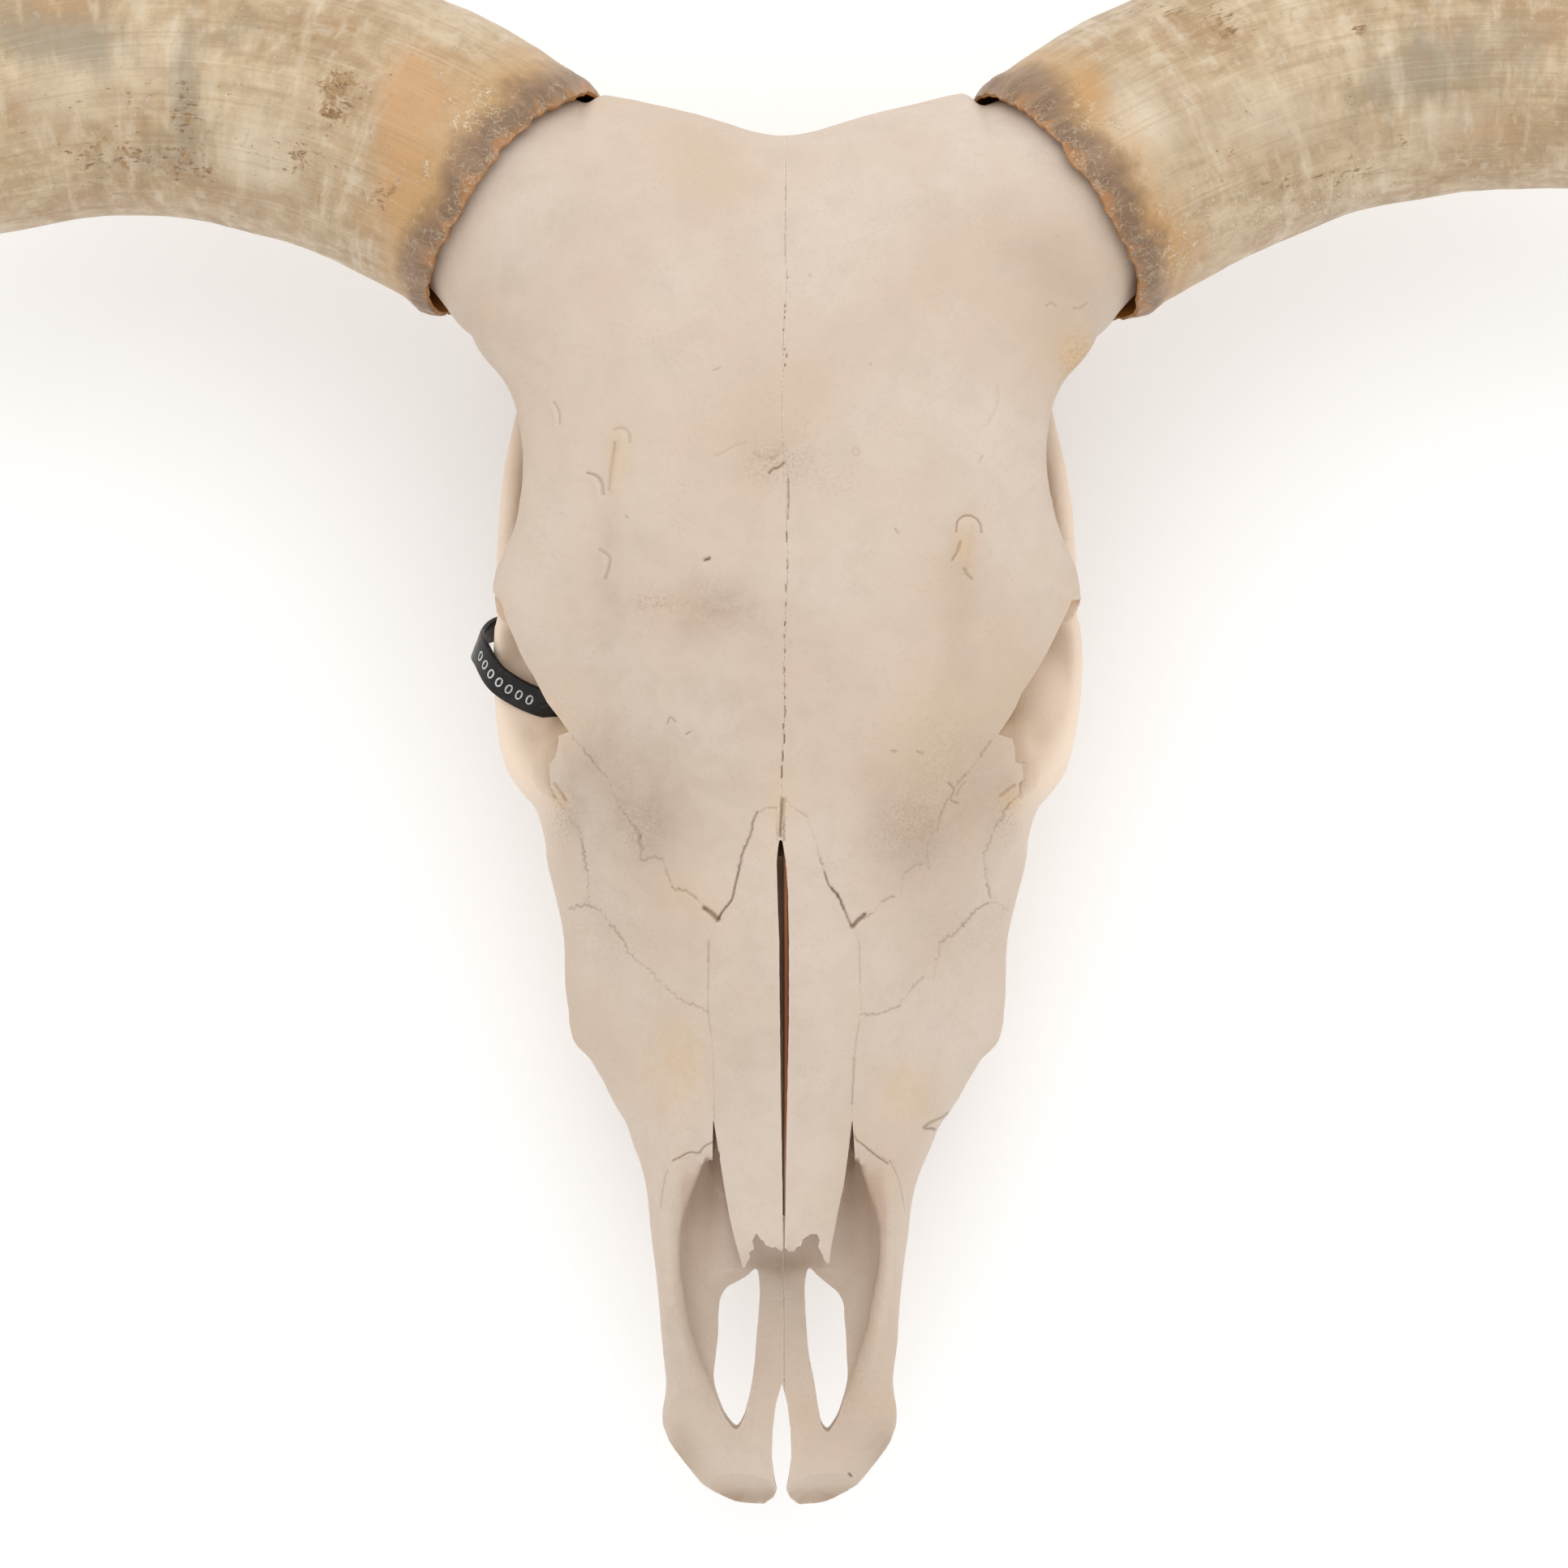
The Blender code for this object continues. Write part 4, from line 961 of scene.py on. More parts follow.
sutures["midline", 0] = toothed(midline, 1.6, 0.3, 51)

strokes = [
    (width, depth, stain, open_curve(on_bone(pixels), 2 * len(pixels))[:, :2])
    for width, depth, stain, pixels in MARKS
]
grooves = [(width, depth, 0.0, on_bone(pixels)[:, :2]) for width, depth, pixels in GROOVES]
for strength, dashes in MIDLINE_PITS:
    for px, top, foot in dashes:
        dash = on_bone([(px, top), (px + 0.6, (top + foot) / 2), (px, foot)])[:, :2]
        strokes.append((PIT_WIDTH, strength * 0.5, strength, dash))
chance = np.random.default_rng(5)
for (name, side), line in sutures.items():
    if name in ("nasal_inner", "midline"):
        continue
    start = 0
    while start < len(line) - 1:
        stop = min(start + chance.integers(2, 7), len(line) - 1)
        faint = chance.uniform(0.1, 1.0) ** 1.5
        width, depth = 0.35 + 0.3 * faint, 0.12 + 0.3 * faint
        strokes.append((width, depth, SUTURE_STAIN[name] * faint, line[start : stop + 1]))
        start = stop
print("strokes on the bone:", len(strokes))


def near(points, line, reach):
    """The indices of the points within the box of a line, widened by a reach."""
    low, high = line.min(axis=0) - reach, line.max(axis=0) + reach
    return np.nonzero(np.all((points > low) & (points < high), axis=1))[0]


def upper_near(points, normals, line, reach):
    """As above, but only for points whose surface faces up and shows in the picture."""
    found = near(points[:, :2], line, reach)
    return found[(normals[found, 2] > 0.1) & (points[found, 2] > UPPER)]


def strength_at(points, normals, line, width):
    """A soft brush along a line: 1 on it and 0 beyond about two widths."""
    out = np.zeros(len(points))
    found = upper_near(points, normals, line, width * 3)
    if len(found):
        gap = plan_distance(points[found, :2], line)
        out[found] = np.exp(-((gap / width) ** 2))
    return out


# %% Split the faces near the marks and press the marks in
SPLIT_REACH = 1.5
middles, face_normals = face_table(skull)
close = np.zeros(len(middles), bool)
for _, _, _, line in strokes:
    found = upper_near(middles, face_normals, line, SPLIT_REACH + 0.1)
    if len(found):
        close[found] |= plan_distance(middles[found, :2], line) < SPLIT_REACH
split_faces(skull, close, 0.0)
points, normals = corners_of(skull), normals_of(skull)
sink = np.zeros(len(points))
for width, depth, _, line in strokes + grooves:
    sink += depth * strength_at(points, normals, line, width)
move_corners(skull, points - normals * sink[:, None])
print("skull with its marks:", len(skull.data.vertices), "vertices")

# %% [markdown]
# ## Parting the skull into bones
# Each bone is cut from the whole with a prism whose outline follows its sutures, and a prism a hair
# wider takes the same bone out of what is left. So two neighbours fit each other tooth for tooth, with
# a thin dark gap between them. Under the surface, where nothing shows, the outlines run straight.
# The left and the right bone are cut in one go and then told apart by where they lie.

# %% Part the bones
GAP = 0.12
SIDE_NAME = {1: "left", -1: "right"}
NASAL_SIDE = [
    (20, 180), (-30, 172), (-65, 160), (-105, 148), (-140, 138), (-250, 120), (-250, 260), (20, 260),
]  # fmt: skip
FRONTAL_SIDE = [
    (-70, 146), (14, 146), (40, 149), (70, 145), (120, 150), (148, 142), (168, 112), (186, 92), (330, 88),
    (330, 260), (-70, 260),
]  # fmt: skip
LACRIMAL_SIDE = [(-95, 124), (-46, 122), (-14, 134), (8, 134), (30, 140), (30, 240), (-95, 240)]
ZYGOMATIC_SIDE = [(-52, 78), (-52, 160), (60, 160), (100, 160), (94, 84), (20, 80)]
INCISIVE_SIDE = [
    (-139.5, 160), (-143.5, 141), (-154, 125), (-166.6, 112), (-185, 97), (-203, 84), (-212, 50),
    (-330, 40), (-330, 170), (-190, 170),
]  # fmt: skip
MAXILLA_SIDE = [(-330, 0), (12, 0), (12, 80), (20, 130), (20, 260), (-330, 260)]
NASAL_FOOT = [
    (890, 1556), (918, 1561), (924, 1549), (923, 1543), (929, 1539), (927, 1528), (932, 1519), (937, 1527),
    (941, 1529), (943, 1534), (949, 1536), (952, 1538), (955, 1536), (960, 1540), (963, 1542), (965, 1538),
    (968, 1538), (972, 1542), (978, 1542), (982, 1536), (987, 1535), (989, 1527), (1000, 1520),
    (1007, 1521), (1010, 1528), (1008, 1536), (1013, 1545), (1016, 1553), (1020, 1557), (1048, 1553),
]  # fmt: skip
FRONT_SLIT = [
    (963, 1706), (956, 1730), (952, 1762), (951, 1800), (954, 1824), (957, 1836), (953, 1845), (944, 1851),
    (936, 1860), (936, 1900), (994, 1900), (994, 1860), (982, 1852), (974, 1846), (969, 1836), (972, 1822),
    (975, 1800), (974, 1762), (970, 1730), (964, 1706),
]  # fmt: skip


def grown(outline, by):
    """The outline moved outwards by a distance, at each corner along its own bisector."""
    points = np.asarray(outline, float)
    before = points - np.roll(points, 1, axis=0)
    after = np.roll(points, -1, axis=0) - points
    turn = 1 if np.sum(before[:, 0] * points[:, 1] - before[:, 1] * points[:, 0]) > 0 else -1
    before /= np.linalg.norm(before, axis=1)[:, None]
    after /= np.linalg.norm(after, axis=1)[:, None]
    outward = np.column_stack([before[:, 1] + after[:, 1], -before[:, 0] - after[:, 0]]) * turn
    outward /= np.linalg.norm(outward, axis=1)[:, None] + 1e-9
    lean = np.sum(outward * np.column_stack([before[:, 1], -before[:, 0]]) * turn, axis=1)
    return points + outward * by / np.maximum(lean, 0.6)[:, None]


def copy_of(obj, name):
    other = obj.copy()
    other.data = obj.data.copy()
    other.name = name
    bpy.context.scene.collection.objects.link(other)
    return other


def largest_bodies(obj, names):
    """Keeps the largest connected pieces, named from the left side to the right, without the crumbs."""
    pick(obj)
    bpy.ops.mesh.separate(type="LOOSE")
    bodies = sorted(bpy.context.selected_objects, key=lambda body: -len(body.data.vertices))
    kept = sorted(bodies[: len(names)], key=lambda body: -corners_of(body)[:, 0].mean())
    for crumb in bodies[len(names) :]:
        bpy.data.objects.remove(crumb)
    for body, name in zip(kept, names):
        body.name = name
    return kept


def region(plan, side_view, gap):
    """The space inside a plan outline and a side outline, both widened by a gap."""
    space = prism("space", grown(plan, gap), -50, 400)
    return carved(space, prism("limit", grown(side_view, gap), -450, 450, axis="X"), "INTERSECT")


def part_off(name, plans, side_view):
    """Cuts the bones of both sides out of the skull."""
    pair = copy_of(skull, "pair")
    carved(pair, united([region(plan, side_view, 0.0) for plan in plans.values()]), "INTERSECT")
    carved(skull, united([region(plan, side_view, GAP) for plan in plans.values()]))
    return largest_bodies(pair, [f"bone_{name}_{SIDE_NAME[side]}" for side in plans])


def flat(points):
    return np.asarray(points, float)[:, :2]


# The free edges of the nasal bones, their feet, and the slits on the midline.
NASAL_FREE_EDGE = {
    1: [(1049.5, 1380), (1045, 1420), (1040, 1460), (1034, 1500), (1029, 1530), (1024, 1553), (1021, 1570)],
    -1: [(879.5, 1380), (886, 1420), (892, 1460), (899, 1500), (906, 1530), (912, 1550), (917, 1570)],
}
NASAL_EDGE_HEIGHT = 149.0
NASAL_EDGE_WIDTHS = [0.2, 2.5, 5, 6, 6, 6, 6]
FRONT_HEIGHT = 72.0
cutters = []
for side in (1, -1):
    edge = at_height(NASAL_FREE_EDGE[side], NASAL_EDGE_HEIGHT)
    strip = np.column_stack([side * np.array(NASAL_EDGE_WIDTHS), np.zeros(len(edge))])
    cutters.append(prism("nasal_edge", np.vstack([edge, (edge + strip)[::-1]]), 128, ABOVE_ALL))
foot = np.vstack([(-30, -250), flat(on_bone(NASAL_FOOT)), (30, -250)])
nasal_slit = np.vstack(
    [sutures["nasal_inner", 1], sutures["midline", 0][-1:], sutures["nasal_inner", -1][::-1]]
)
cutters.append(prism("nasal_foot", foot, 120, ABOVE_ALL))
cutters.append(prism("nasal_slit", nasal_slit, 130, ABOVE_ALL))
cutters.append(prism("front_slit", flat(on_bone(FRONT_SLIT, FRONT_HEIGHT)), 20, ABOVE_ALL))
carved(skull, united(cutters))

# The plan outlines of the bones, left and right. The two halves stay apart by a hair at the midline.
half_gap = {1: (0.006, 0), -1: (-0.006, 0)}
nasal_plans, frontal_plans, lacrimal_plans, zygomatic_plans, whole_plans = {}, {}, {}, {}, {}
for side in (1, -1):
    centre = sutures["midline", 0] + half_gap[side]
    inner = flat(on_bone(NASAL_INNER[side]))
    nasal_plans[side] = np.vstack(
        [
            sutures["nasal_top", side],
            sutures["nasal_side", side],
            sided([(24.6, -140), (24.6, -250)], side),
            [(inner[0, 0], -250)],
            sutures["nasal_inner", side],
        ]
    )
    frontal_plans[side] = np.vstack(
        [
            centre,
            [(centre[-1, 0], -40)],
            sided([(26, -53)], side),
            sutures["frontal_foot", side],
            sided([(86, 14), (150, 40), (220, 120), (420, 160), (420, 330)], side),
            [(centre[0, 0], 330)],
        ]
    )
    corner = sutures["lacrimal_foot", side]
    split = np.argmin(np.abs(corner[:, 0] - flat(on_bone([LACRIMAL_FOOT[side][1]]))[0, 0]))
    lacrimal_plans[side] = np.vstack(
        [
            sided([(20, -40), (45, -30), (50, 0), (66, 24), (84, 36), (98, 30)], side),
            plate_edge[side][-3:] + (1.5 * side, 0),
            sutures["lacrimal_edge", side],
            corner[split:],
            sided([(20, -86)], side),
        ]
    )
    zygomatic_plans[side] = np.vstack(
        [
            sided([(72, -20), (76, 6), (80, 20), (80, 100), (150, 100), (150, -50)], side),
            corner[: split + 1],
        ]
    )
    seam = half_gap[side][0]
    whole_plans[side] = np.vstack([(seam, -400), (300 * side, -400), (300 * side, 400), (seam, 400)])

bones = part_off("nasal", nasal_plans, NASAL_SIDE)
bones += part_off("frontal", frontal_plans, FRONTAL_SIDE)
bones += part_off("lacrimal", lacrimal_plans, LACRIMAL_SIDE)
bones += part_off("zygomatic", zygomatic_plans, ZYGOMATIC_SIDE)
bones += part_off("incisive", whole_plans, INCISIVE_SIDE)
bones += part_off("maxilla", whole_plans, MAXILLA_SIDE)
bones += largest_bodies(skull, ["bone_braincase"])

# The bony septum, seen through the slit between the nasal bones, is carried by the left one.
SEPTUM = [
    (0.9, -22, 185.6, 1.5, 6),
    (1.0, -60, 176.2, 1.5, 6),
    (1.0, -110, 163.2, 1.5, 6),
    (0.8, -140, 154.8, 1.5, 6),
    (0.7, -165, 149.6, 1.4, 4),
]
pick(bones[0], bar("septum", SEPTUM))
bpy.ops.object.join()
for bone in bones:
    print(bone.name, len(bone.data.polygons), "faces")

# %% [markdown]
# ## Teeth
# A bull has six cheek teeth on each side of the upper jaw. The hind three are broad molars with two
# lobes, the front three are smaller. Each tooth is a stack of sections: flat ridges on the cheek side,
# rounded lobes on the tongue side. Crescent hollows in the grinding face are cut with Booleans.

# %% Teeth
# Length, width and number of lobes, from the back of the row to its front.
TEETH = [(27, 25, 2), (28, 25, 2), (25, 24, 2), (18, 21, 1), (17, 19, 1), (15, 15, 1)]
ROW_LINE = [(-150, 43), (-118, 48), (-89, 52), (-45, 56.5), (5, 59)]
TOOTH_TILT = math.radians(12)
TOOTH_HEIGHT = 23.0
# How wide a tooth is at each height over its grinding face.
CROWN_PROFILE = [(0.0, 0.9), (0.6, 0.96), (2.5, 1.0), (9.0, 1.0), (15.0, 0.96), (TOOTH_HEIGHT, 0.92)]


def tooth_section(length, width, lobes):
    """The outline of a tooth seen from below, as (along, across), from its back edge."""
    along = np.linspace(0, 1, 24 * lobes, endpoint=False)
    lobe = np.abs(np.sin(math.pi * lobes * along))
    rib = np.abs(np.cos(2 * math.pi * lobes * along)) ** 3
    cheek = width * (0.40 + 0.05 * (1 - lobe) + 0.035 * rib)
    tongue = -width * (0.20 + 0.29 * lobe**0.6)
    ends = np.clip(np.minimum(along, 1 - along) * 9, 0, 1) ** 0.5
    top = np.column_stack([along * length, cheek * (0.55 + 0.45 * ends)])
    foot = np.column_stack([along * length, tongue * (0.5 + 0.5 * ends)])[::-1]
    return np.vstack([top, foot])


def tooth_at(side, back, length, width, lobes):
    """One tooth in its place, with its grinding face down."""
    section = tooth_section(length - 0.5, width, lobes)
    rings = []
    for up, narrow in CROWN_PROFILE:
        ring = section * (1, narrow)
        ring[:, 0] = (ring[:, 0] - length / 2) * (0.94 + 0.06 * narrow) + length / 2
        y = back - 0.25 - ring[:, 0]
        x = through(*zip(*ROW_LINE), y)[:, 0] + ring[:, 1]
        low = (LAST_MOLAR - y) * math.tan(TOOTH_TILT) + 0.15
        wave = 0.55 * np.cos(2 * math.pi * lobes * ring[:, 0] / length) * (up < 1)
        rings.append(np.column_stack([x * side, y, low + 0.55 + wave + up]))
    tooth = wrapped("tooth", rings)
    for k in range(lobes):
        y = back - length * (k + 0.5) / lobes
        x = through(*zip(*ROW_LINE), [y])[0, 0] - 0.5
        low = (LAST_MOLAR - y) * math.tan(TOOTH_TILT)
        turn = np.linspace(-1.15, 1.15, 9)
        reach = np.array([0.30 * length / lobes, 0.17 * width])
        line = [
            ((x + reach[1] * (math.cos(a) - 0.55)) * side, y + reach[0] * math.sin(a), low + 0.5, w, 2.6)
            for a, w in zip(turn, 0.35 + 1.0 * np.cos(turn))
        ]
        carved(tooth, bar("crescent", line, 1, 12))
    return tooth


def tooth_row(side):
    """Six cheek teeth, back to front."""
    teeth = []
    back = LAST_MOLAR
    for length, width, lobes in TEETH:
        teeth.append(tooth_at(side, back, length, width, lobes))
        back -= length
    row = pick(*teeth)
    bpy.ops.object.join()
    row.name = f"cheek_teeth_{SIDE_NAME[side]}"
    return row


teeth = [tooth_row(side) for side in (1, -1)]
print("teeth:", [len(row.data.polygons) for row in teeth])

# %% [markdown]
# ## Horn sheaths
# A horn is a sheath of keratin that grew in rings over a bony core, and on a dry skull it slides off.
# It is thin and ragged at the base, where it met the skin, and solid towards the tip. Here the sheath
# is one wrapped grid: out along the wall and back inside the bore. The rim wanders, rough fibres stand
# out near it, and low rings and fine furrows follow the growth. A vector stored at each point runs
# round and along the horn, so that the material's streaks follow the curve.

# %% Horn sheaths
SHEATH = [
    (0, 52), (5, 53.2), (14, 53.8), (60, 54.5), (150, 50.5), (205, 47.5), (250, 45), (350, 38), (450, 28.5),
    (540, 18), (590, 10), (612, 4.5), (618, 1.5),
]  # fmt: skip
BORE = [(0, 50.6), (14, 48.9), (60, 47), (110, 44), (150, 41), (200, 34), (235, 24), (256, 8)]
HORN_SIDES, OUTER_RINGS, INNER_RINGS = 200, 300, 40


def wavy(points, size, seed):
    """Smooth noise between -1 and 1 at points, with features of about a size in mm."""
    offset = Vector((seed * 17.3, seed * 5.1, seed * 9.7))
    return np.array([noise.noise(Vector(p) / size + offset) for p in points])


def horn_grid(profile, places):
    """Where the points of one wall lie on the unrolled horn: place along, angle and radius."""
    keys, radii = zip(*profile)
    turn = np.linspace(0, 2 * math.pi, HORN_SIDES, endpoint=False)
    at = np.repeat(places[:, None], HORN_SIDES, axis=1)
    angle = np.repeat(turn[None, :], len(places), axis=0)
    radius = np.repeat(through(keys, radii, places)[:, :1], HORN_SIDES, axis=1)
    return at, angle, radius


def horn_sheath(side):
    """The wall and the bore of one sheath, with what the material needs stored at its points."""
    outer_places = SHEATH[-1][0] * np.linspace(0, 1, OUTER_RINGS) ** 1.2
    inner_places = BORE[-1][0] * np.linspace(0, 1, INNER_RINGS) ** 1.5
    outer = horn_grid(SHEATH, outer_places)
    inner = horn_grid(BORE, inner_places)
    at, angle, radius = (np.vstack([b[::-1], a]) for a, b in zip(outer, inner))
    wall = np.vstack([np.zeros(inner[0].shape), np.ones(outer[0].shape)])
    seed = 3 if side > 0 else 8
    # The unrolled horn as points on a cylinder, so that noise closes round it.
    drum = np.column_stack([(np.cos(angle) * 50).ravel(), (np.sin(angle) * 50).ravel(), at.ravel()])

    def noise_on_horn(across, along, size, number):
        return wavy(drum * (across, across, along), size, seed + number).reshape(at.shape)

    rim = np.exp(-at / 9)
    ragged = noise_on_horn(1, 0, 14, 0) * 2.2 + noise_on_horn(1, 0, 4, 1) * 1.3
    rough = noise_on_horn(1, 0.45, 2.6, 2)
    lumps = noise_on_horn(1, 1, 30, 3) * 0.9 + noise_on_horn(1, 0.4, 9, 4) * 0.25
    furrows = noise_on_horn(1, 0.06, 2.2, 5)
    rings = noise_on_horn(0.12, 1, 9, 6)
    fade = np.clip((600 - at) / 120, 0, 1)
    relief = lumps * fade + furrows * 0.07 * fade + rings * 0.3 * np.exp(-at / 260) * fade
    relief += rough * (0.75 * rim + 0.25 * np.exp(-at / 45)) + 0.9 * np.exp(-(((at - 7) / 5) ** 2))
    radius = radius + relief * wall + (1 - wall) * rough * 0.3 * rim
    run_places = (at + ragged * np.exp(-at / 14)).ravel()
    centres = horn_line(side, run_places)
    ahead = horn_line(side, run_places + 0.5) - horn_line(side, run_places - 0.5)
    ahead /= np.linalg.norm(ahead, axis=1)[:, None]
    across = np.cross(ahead, (0, 0, 1))
    across /= np.linalg.norm(across, axis=1)[:, None]
    up = np.cross(across, ahead)
    flat_radius, flat_angle = radius.ravel()[:, None], angle.ravel()[:, None]
    skin = centres + (across * np.cos(flat_angle) + up * np.sin(flat_angle)) * flat_radius
    grid = skin.reshape(*at.shape, 3)
    values = {"grain": drum.reshape(*at.shape, 3) * MM, "along": at * MM, "wall": wall}
    return wrapped(f"horn_{SIDE_NAME[side]}", grid, values=values)


horns = [horn_sheath(side) for side in (1, -1)]
print("horns:", [len(horn.data.vertices) for horn in horns])

# %% [markdown]
# ## Seal strap
# Collections mark a specimen with a numbered plastic strap that can't be reused. It goes round the
# lower rim of the eye socket. A flat section is swept along a closed loop, and a Bevel modifier breaks
# its long edges. The raised figures are plain zeros, made from a text object and laid onto the band.

# %% Strap
STRAP_WIDTH = 12.0
STRAP_THICKNESS = 1.8
STRAP_LOOP = [
    (-118, 51, 119), (-111.5, 41, 125), (-102.5, 35, 125), (-92.5, 31, 124), (-83.5, 29, 121),
    (-77, 33, 113), (-74.5, 42, 100), (-79, 51, 90), (-90, 58, 85), (-103, 62, 84), (-114, 61, 90),
    (-119.5, 56, 104),
]  # fmt: skip
strap_line = closed_curve(STRAP_LOOP, 14)
# The loop lies nearly in one plane, whose normal gives the band's width a direction.
strap_plane = np.linalg.svd(strap_line - strap_line.mean(axis=0))[2][2]


def strap_frame(line):
    """The direction, the outward normal and the width direction of the band at each point."""
    run = np.roll(line, -1, axis=0) - np.roll(line, 1, axis=0)
    run /= np.linalg.norm(run, axis=1)[:, None]
    outward = np.cross(run, strap_plane)
    outward /= np.linalg.norm(outward, axis=1)[:, None]
    across = np.cross(run, outward)
    return run, outward, across


def strap():
    run, outward, across = strap_frame(strap_line)
    half, thick = STRAP_WIDTH / 2, STRAP_THICKNESS / 2
    corners = [(-half, -thick), (half, -thick), (half, thick), (-half, thick)]
    rings = np.stack([strap_line + across * a + outward * b for a, b in corners], axis=1)
    band = wrapped("seal_strap", rings, closed=True)
    limit = math.radians(50)
    return finished(band, "BEVEL", width=0.35 * MM, segments=3, limit_method="ANGLE", angle_limit=limit)


band = strap()
print("strap:", len(band.data.polygons), "faces")

# %% [markdown]
# The figures are made flat, as text, and turned into a mesh. Each of its points is then carried to the
# band: its place across the page becomes a distance along the strap, and its height a place across it.

# %% Figures on the strap
FIGURE_SIZE = 6.3
FIGURE_START = 0.2  # distance in mm along the loop


def figures():
    """Plain raised zeros, laid along the band."""
    bpy.ops.object.select_all(action="DESELECT")
    bpy.ops.object.text_add()
    text = bpy.context.object
    text.data.body = "0000000"
    text.data.size = FIGURE_SIZE * MM
    text.data.space_character = 1.42
    text.data.extrude = 0.06 * MM
    text.data.resolution_u = 4
    bpy.ops.object.convert(target="MESH")
    text = bpy.context.object
    text.name = "strap_figures"
    points = corners_of(text)
    run, outward, across = strap_frame(strap_line)
    keys = lengths(np.vstack([strap_line, strap_line[:1]]))[:-1]
    facing = np.sign(outward[10, 2])
    upright = np.sign(across[10, 0] + across[10, 1])
    place = points[:, 0] + FIGURE_START
    height = points[:, 1] - FIGURE_SIZE * 0.36
    lift = points[:, 2] + STRAP_THICKNESS / 2

    def read(values):
        return np.column_stack([np.interp(place, keys, values[:, k]) for k in range(3)])

    laid = read(strap_line)
    laid += read(across) * (upright * height)[:, None] + read(outward) * (facing * lift)[:, None]
    move_corners(text, laid)
    pick(text)
    bpy.ops.object.mode_set(mode="EDIT")
    bpy.ops.mesh.select_all(action="SELECT")
    bpy.ops.mesh.remove_doubles(threshold=0.001 * MM)
    bpy.ops.mesh.normals_make_consistent(inside=False)
    bpy.ops.object.mode_set(mode="OBJECT")
    return text


strap_text = figures()
print("figures:", len(strap_text.data.vertices), "points")

# %% [markdown]
# ## Where colour gathers
# Bone this clean is nearly one colour, so its life is in faint differences: brown in cracks and pits,
# grey-brown patches and ochre ones where marrow fat came out. Beside these go painted shade, on slopes
# turned from the light, under the nasal tips, under the brow edges, deep in the nose and in hollows,
# and painted light, low in the eye sockets, beside the temples, in the nose and on bulges. These are
# painted as numbers on the points, with soft round spots and along the marks, and the material reads them.
# Some are worked out from the form alone, such as how hollow a place is or how deep it lies in the nose.

# %% Paint the bones
# Soft spots in the picture: x, y, radius along each axis, strength.
# Painted shade on slopes turned from the light, under the nasal tips and on the front faces of the incisive
# bones, and grey-brown patches.
SHADE_SPOTS = [
    (800, 1015, 55, 75, 0.45), (1128, 1020, 60, 70, 0.45), (735, 960, 40, 60, 0.3),
    (1210, 965, 40, 60, 0.3), (872, 752, 60, 35, 0.4), (770, 690, 40, 70, 0.15), (1190, 700, 35, 60, 0.15),
    (955, 560, 50, 40, 0.15), (620, 420, 60, 60, 0.15), (1330, 420, 50, 60, 0.15), (680, 250, 60, 90, 0.1),
    (1290, 320, 60, 60, 0.15), (966, 1560, 36, 18, 1.0), (840, 1650, 25, 70, 0.25),
    (850, 1790, 60, 50, 0.12), (1085, 1790, 60, 50, 0.12), (905, 1848, 60, 16, 0.9),
    (1030, 1848, 60, 16, 0.9), (840, 1800, 20, 40, 0.5), (1095, 1795, 20, 40, 0.5),
    (985, 1300, 30, 90, 0.12), (700, 1010, 30, 60, 0.2), (900, 870, 170, 130, 0.2),
    (925, 1280, 40, 150, 0.12), (745, 800, 22, 130, 0.2), (1185, 790, 22, 110, 0.18),
]  # fmt: skip
# Yellow and orange patches. The two at the tops of the eye sockets, at y 745, are painted shade.
OCHRE_SPOTS = [
    (836, 1315, 40, 60, 0.5), (1118, 1345, 30, 40, 0.4), (1325, 440, 22, 30, 0.9), (640, 905, 40, 60, 0.35),
    (1290, 905, 45, 70, 0.35), (690, 985, 14, 14, 0.6), (1245, 985, 16, 14, 0.6), (760, 570, 14, 36, 0.35),
    (1190, 675, 14, 34, 0.4), (850, 1100, 60, 40, 0.2), (700, 880, 50, 50, 0.25), (1150, 900, 60, 90, 0.2),
    (960, 1010, 20, 60, 0.35), (616, 745, 20, 30, 0.15), (1322, 745, 20, 30, 0.15),
]  # fmt: skip
# Painted light low in the eye sockets, beside the temples and in the walls of the nose, where the bone lies
# in shade.
PAINTED_LIGHT_SPOTS = [
    (1315, 900, 60, 150, 1.0), (622, 900, 60, 150, 1.0), (1318, 580, 30, 180, 0.9), (618, 580, 30, 180, 0.9),
    (875, 1530, 30, 70, 0.4), (1060, 1550, 30, 70, 0.1),
]  # fmt: skip
ROUGH_SPOTS = [
    (958, 572, 44, 26, 0.9), (803, 742, 22, 12, 1.0), (880, 745, 50, 34, 0.5), (790, 1018, 28, 32, 0.9),
    (765, 950, 46, 70, 0.35), (1122, 1020, 48, 46, 0.8), (1165, 930, 40, 60, 0.45), (1325, 440, 18, 30, 1.0),
    (1238, 1005, 18, 40, 0.9), (697, 1005, 18, 40, 0.9), (1030, 590, 40, 30, 0.3), (1180, 1150, 60, 40, 0.4),
    (760, 1150, 60, 40, 0.4), (845, 1330, 60, 80, 0.2), (900, 1700, 60, 90, 0.25), (1040, 1700, 60, 90, 0.25),
]  # fmt: skip


def spots(places, table):
    """The sum of soft round spots, as seen at these pixels."""
    total = np.zeros(len(places))
    for x, y, wide, high, weight in table:
        total += weight * np.exp(-(((places[:, 0] - x) / wide) ** 2) - ((places[:, 1] - y) / high) ** 2)
    return np.clip(total, 0, 1)


def hollowness(obj, points, normals):
    """How deep each point lies below the mean of its neighbours, in mm."""
    edges = edges_of(obj)
    from_ends, to_ends = np.concatenate([edges, edges[:, ::-1]]).T
    count = np.bincount(from_ends, minlength=len(points)).astype(float)
    mean = neighbour_sums(points, from_ends, to_ends, len(points)) / np.maximum(count, 1)[:, None]
    return np.sum((mean - points) * normals, axis=1)


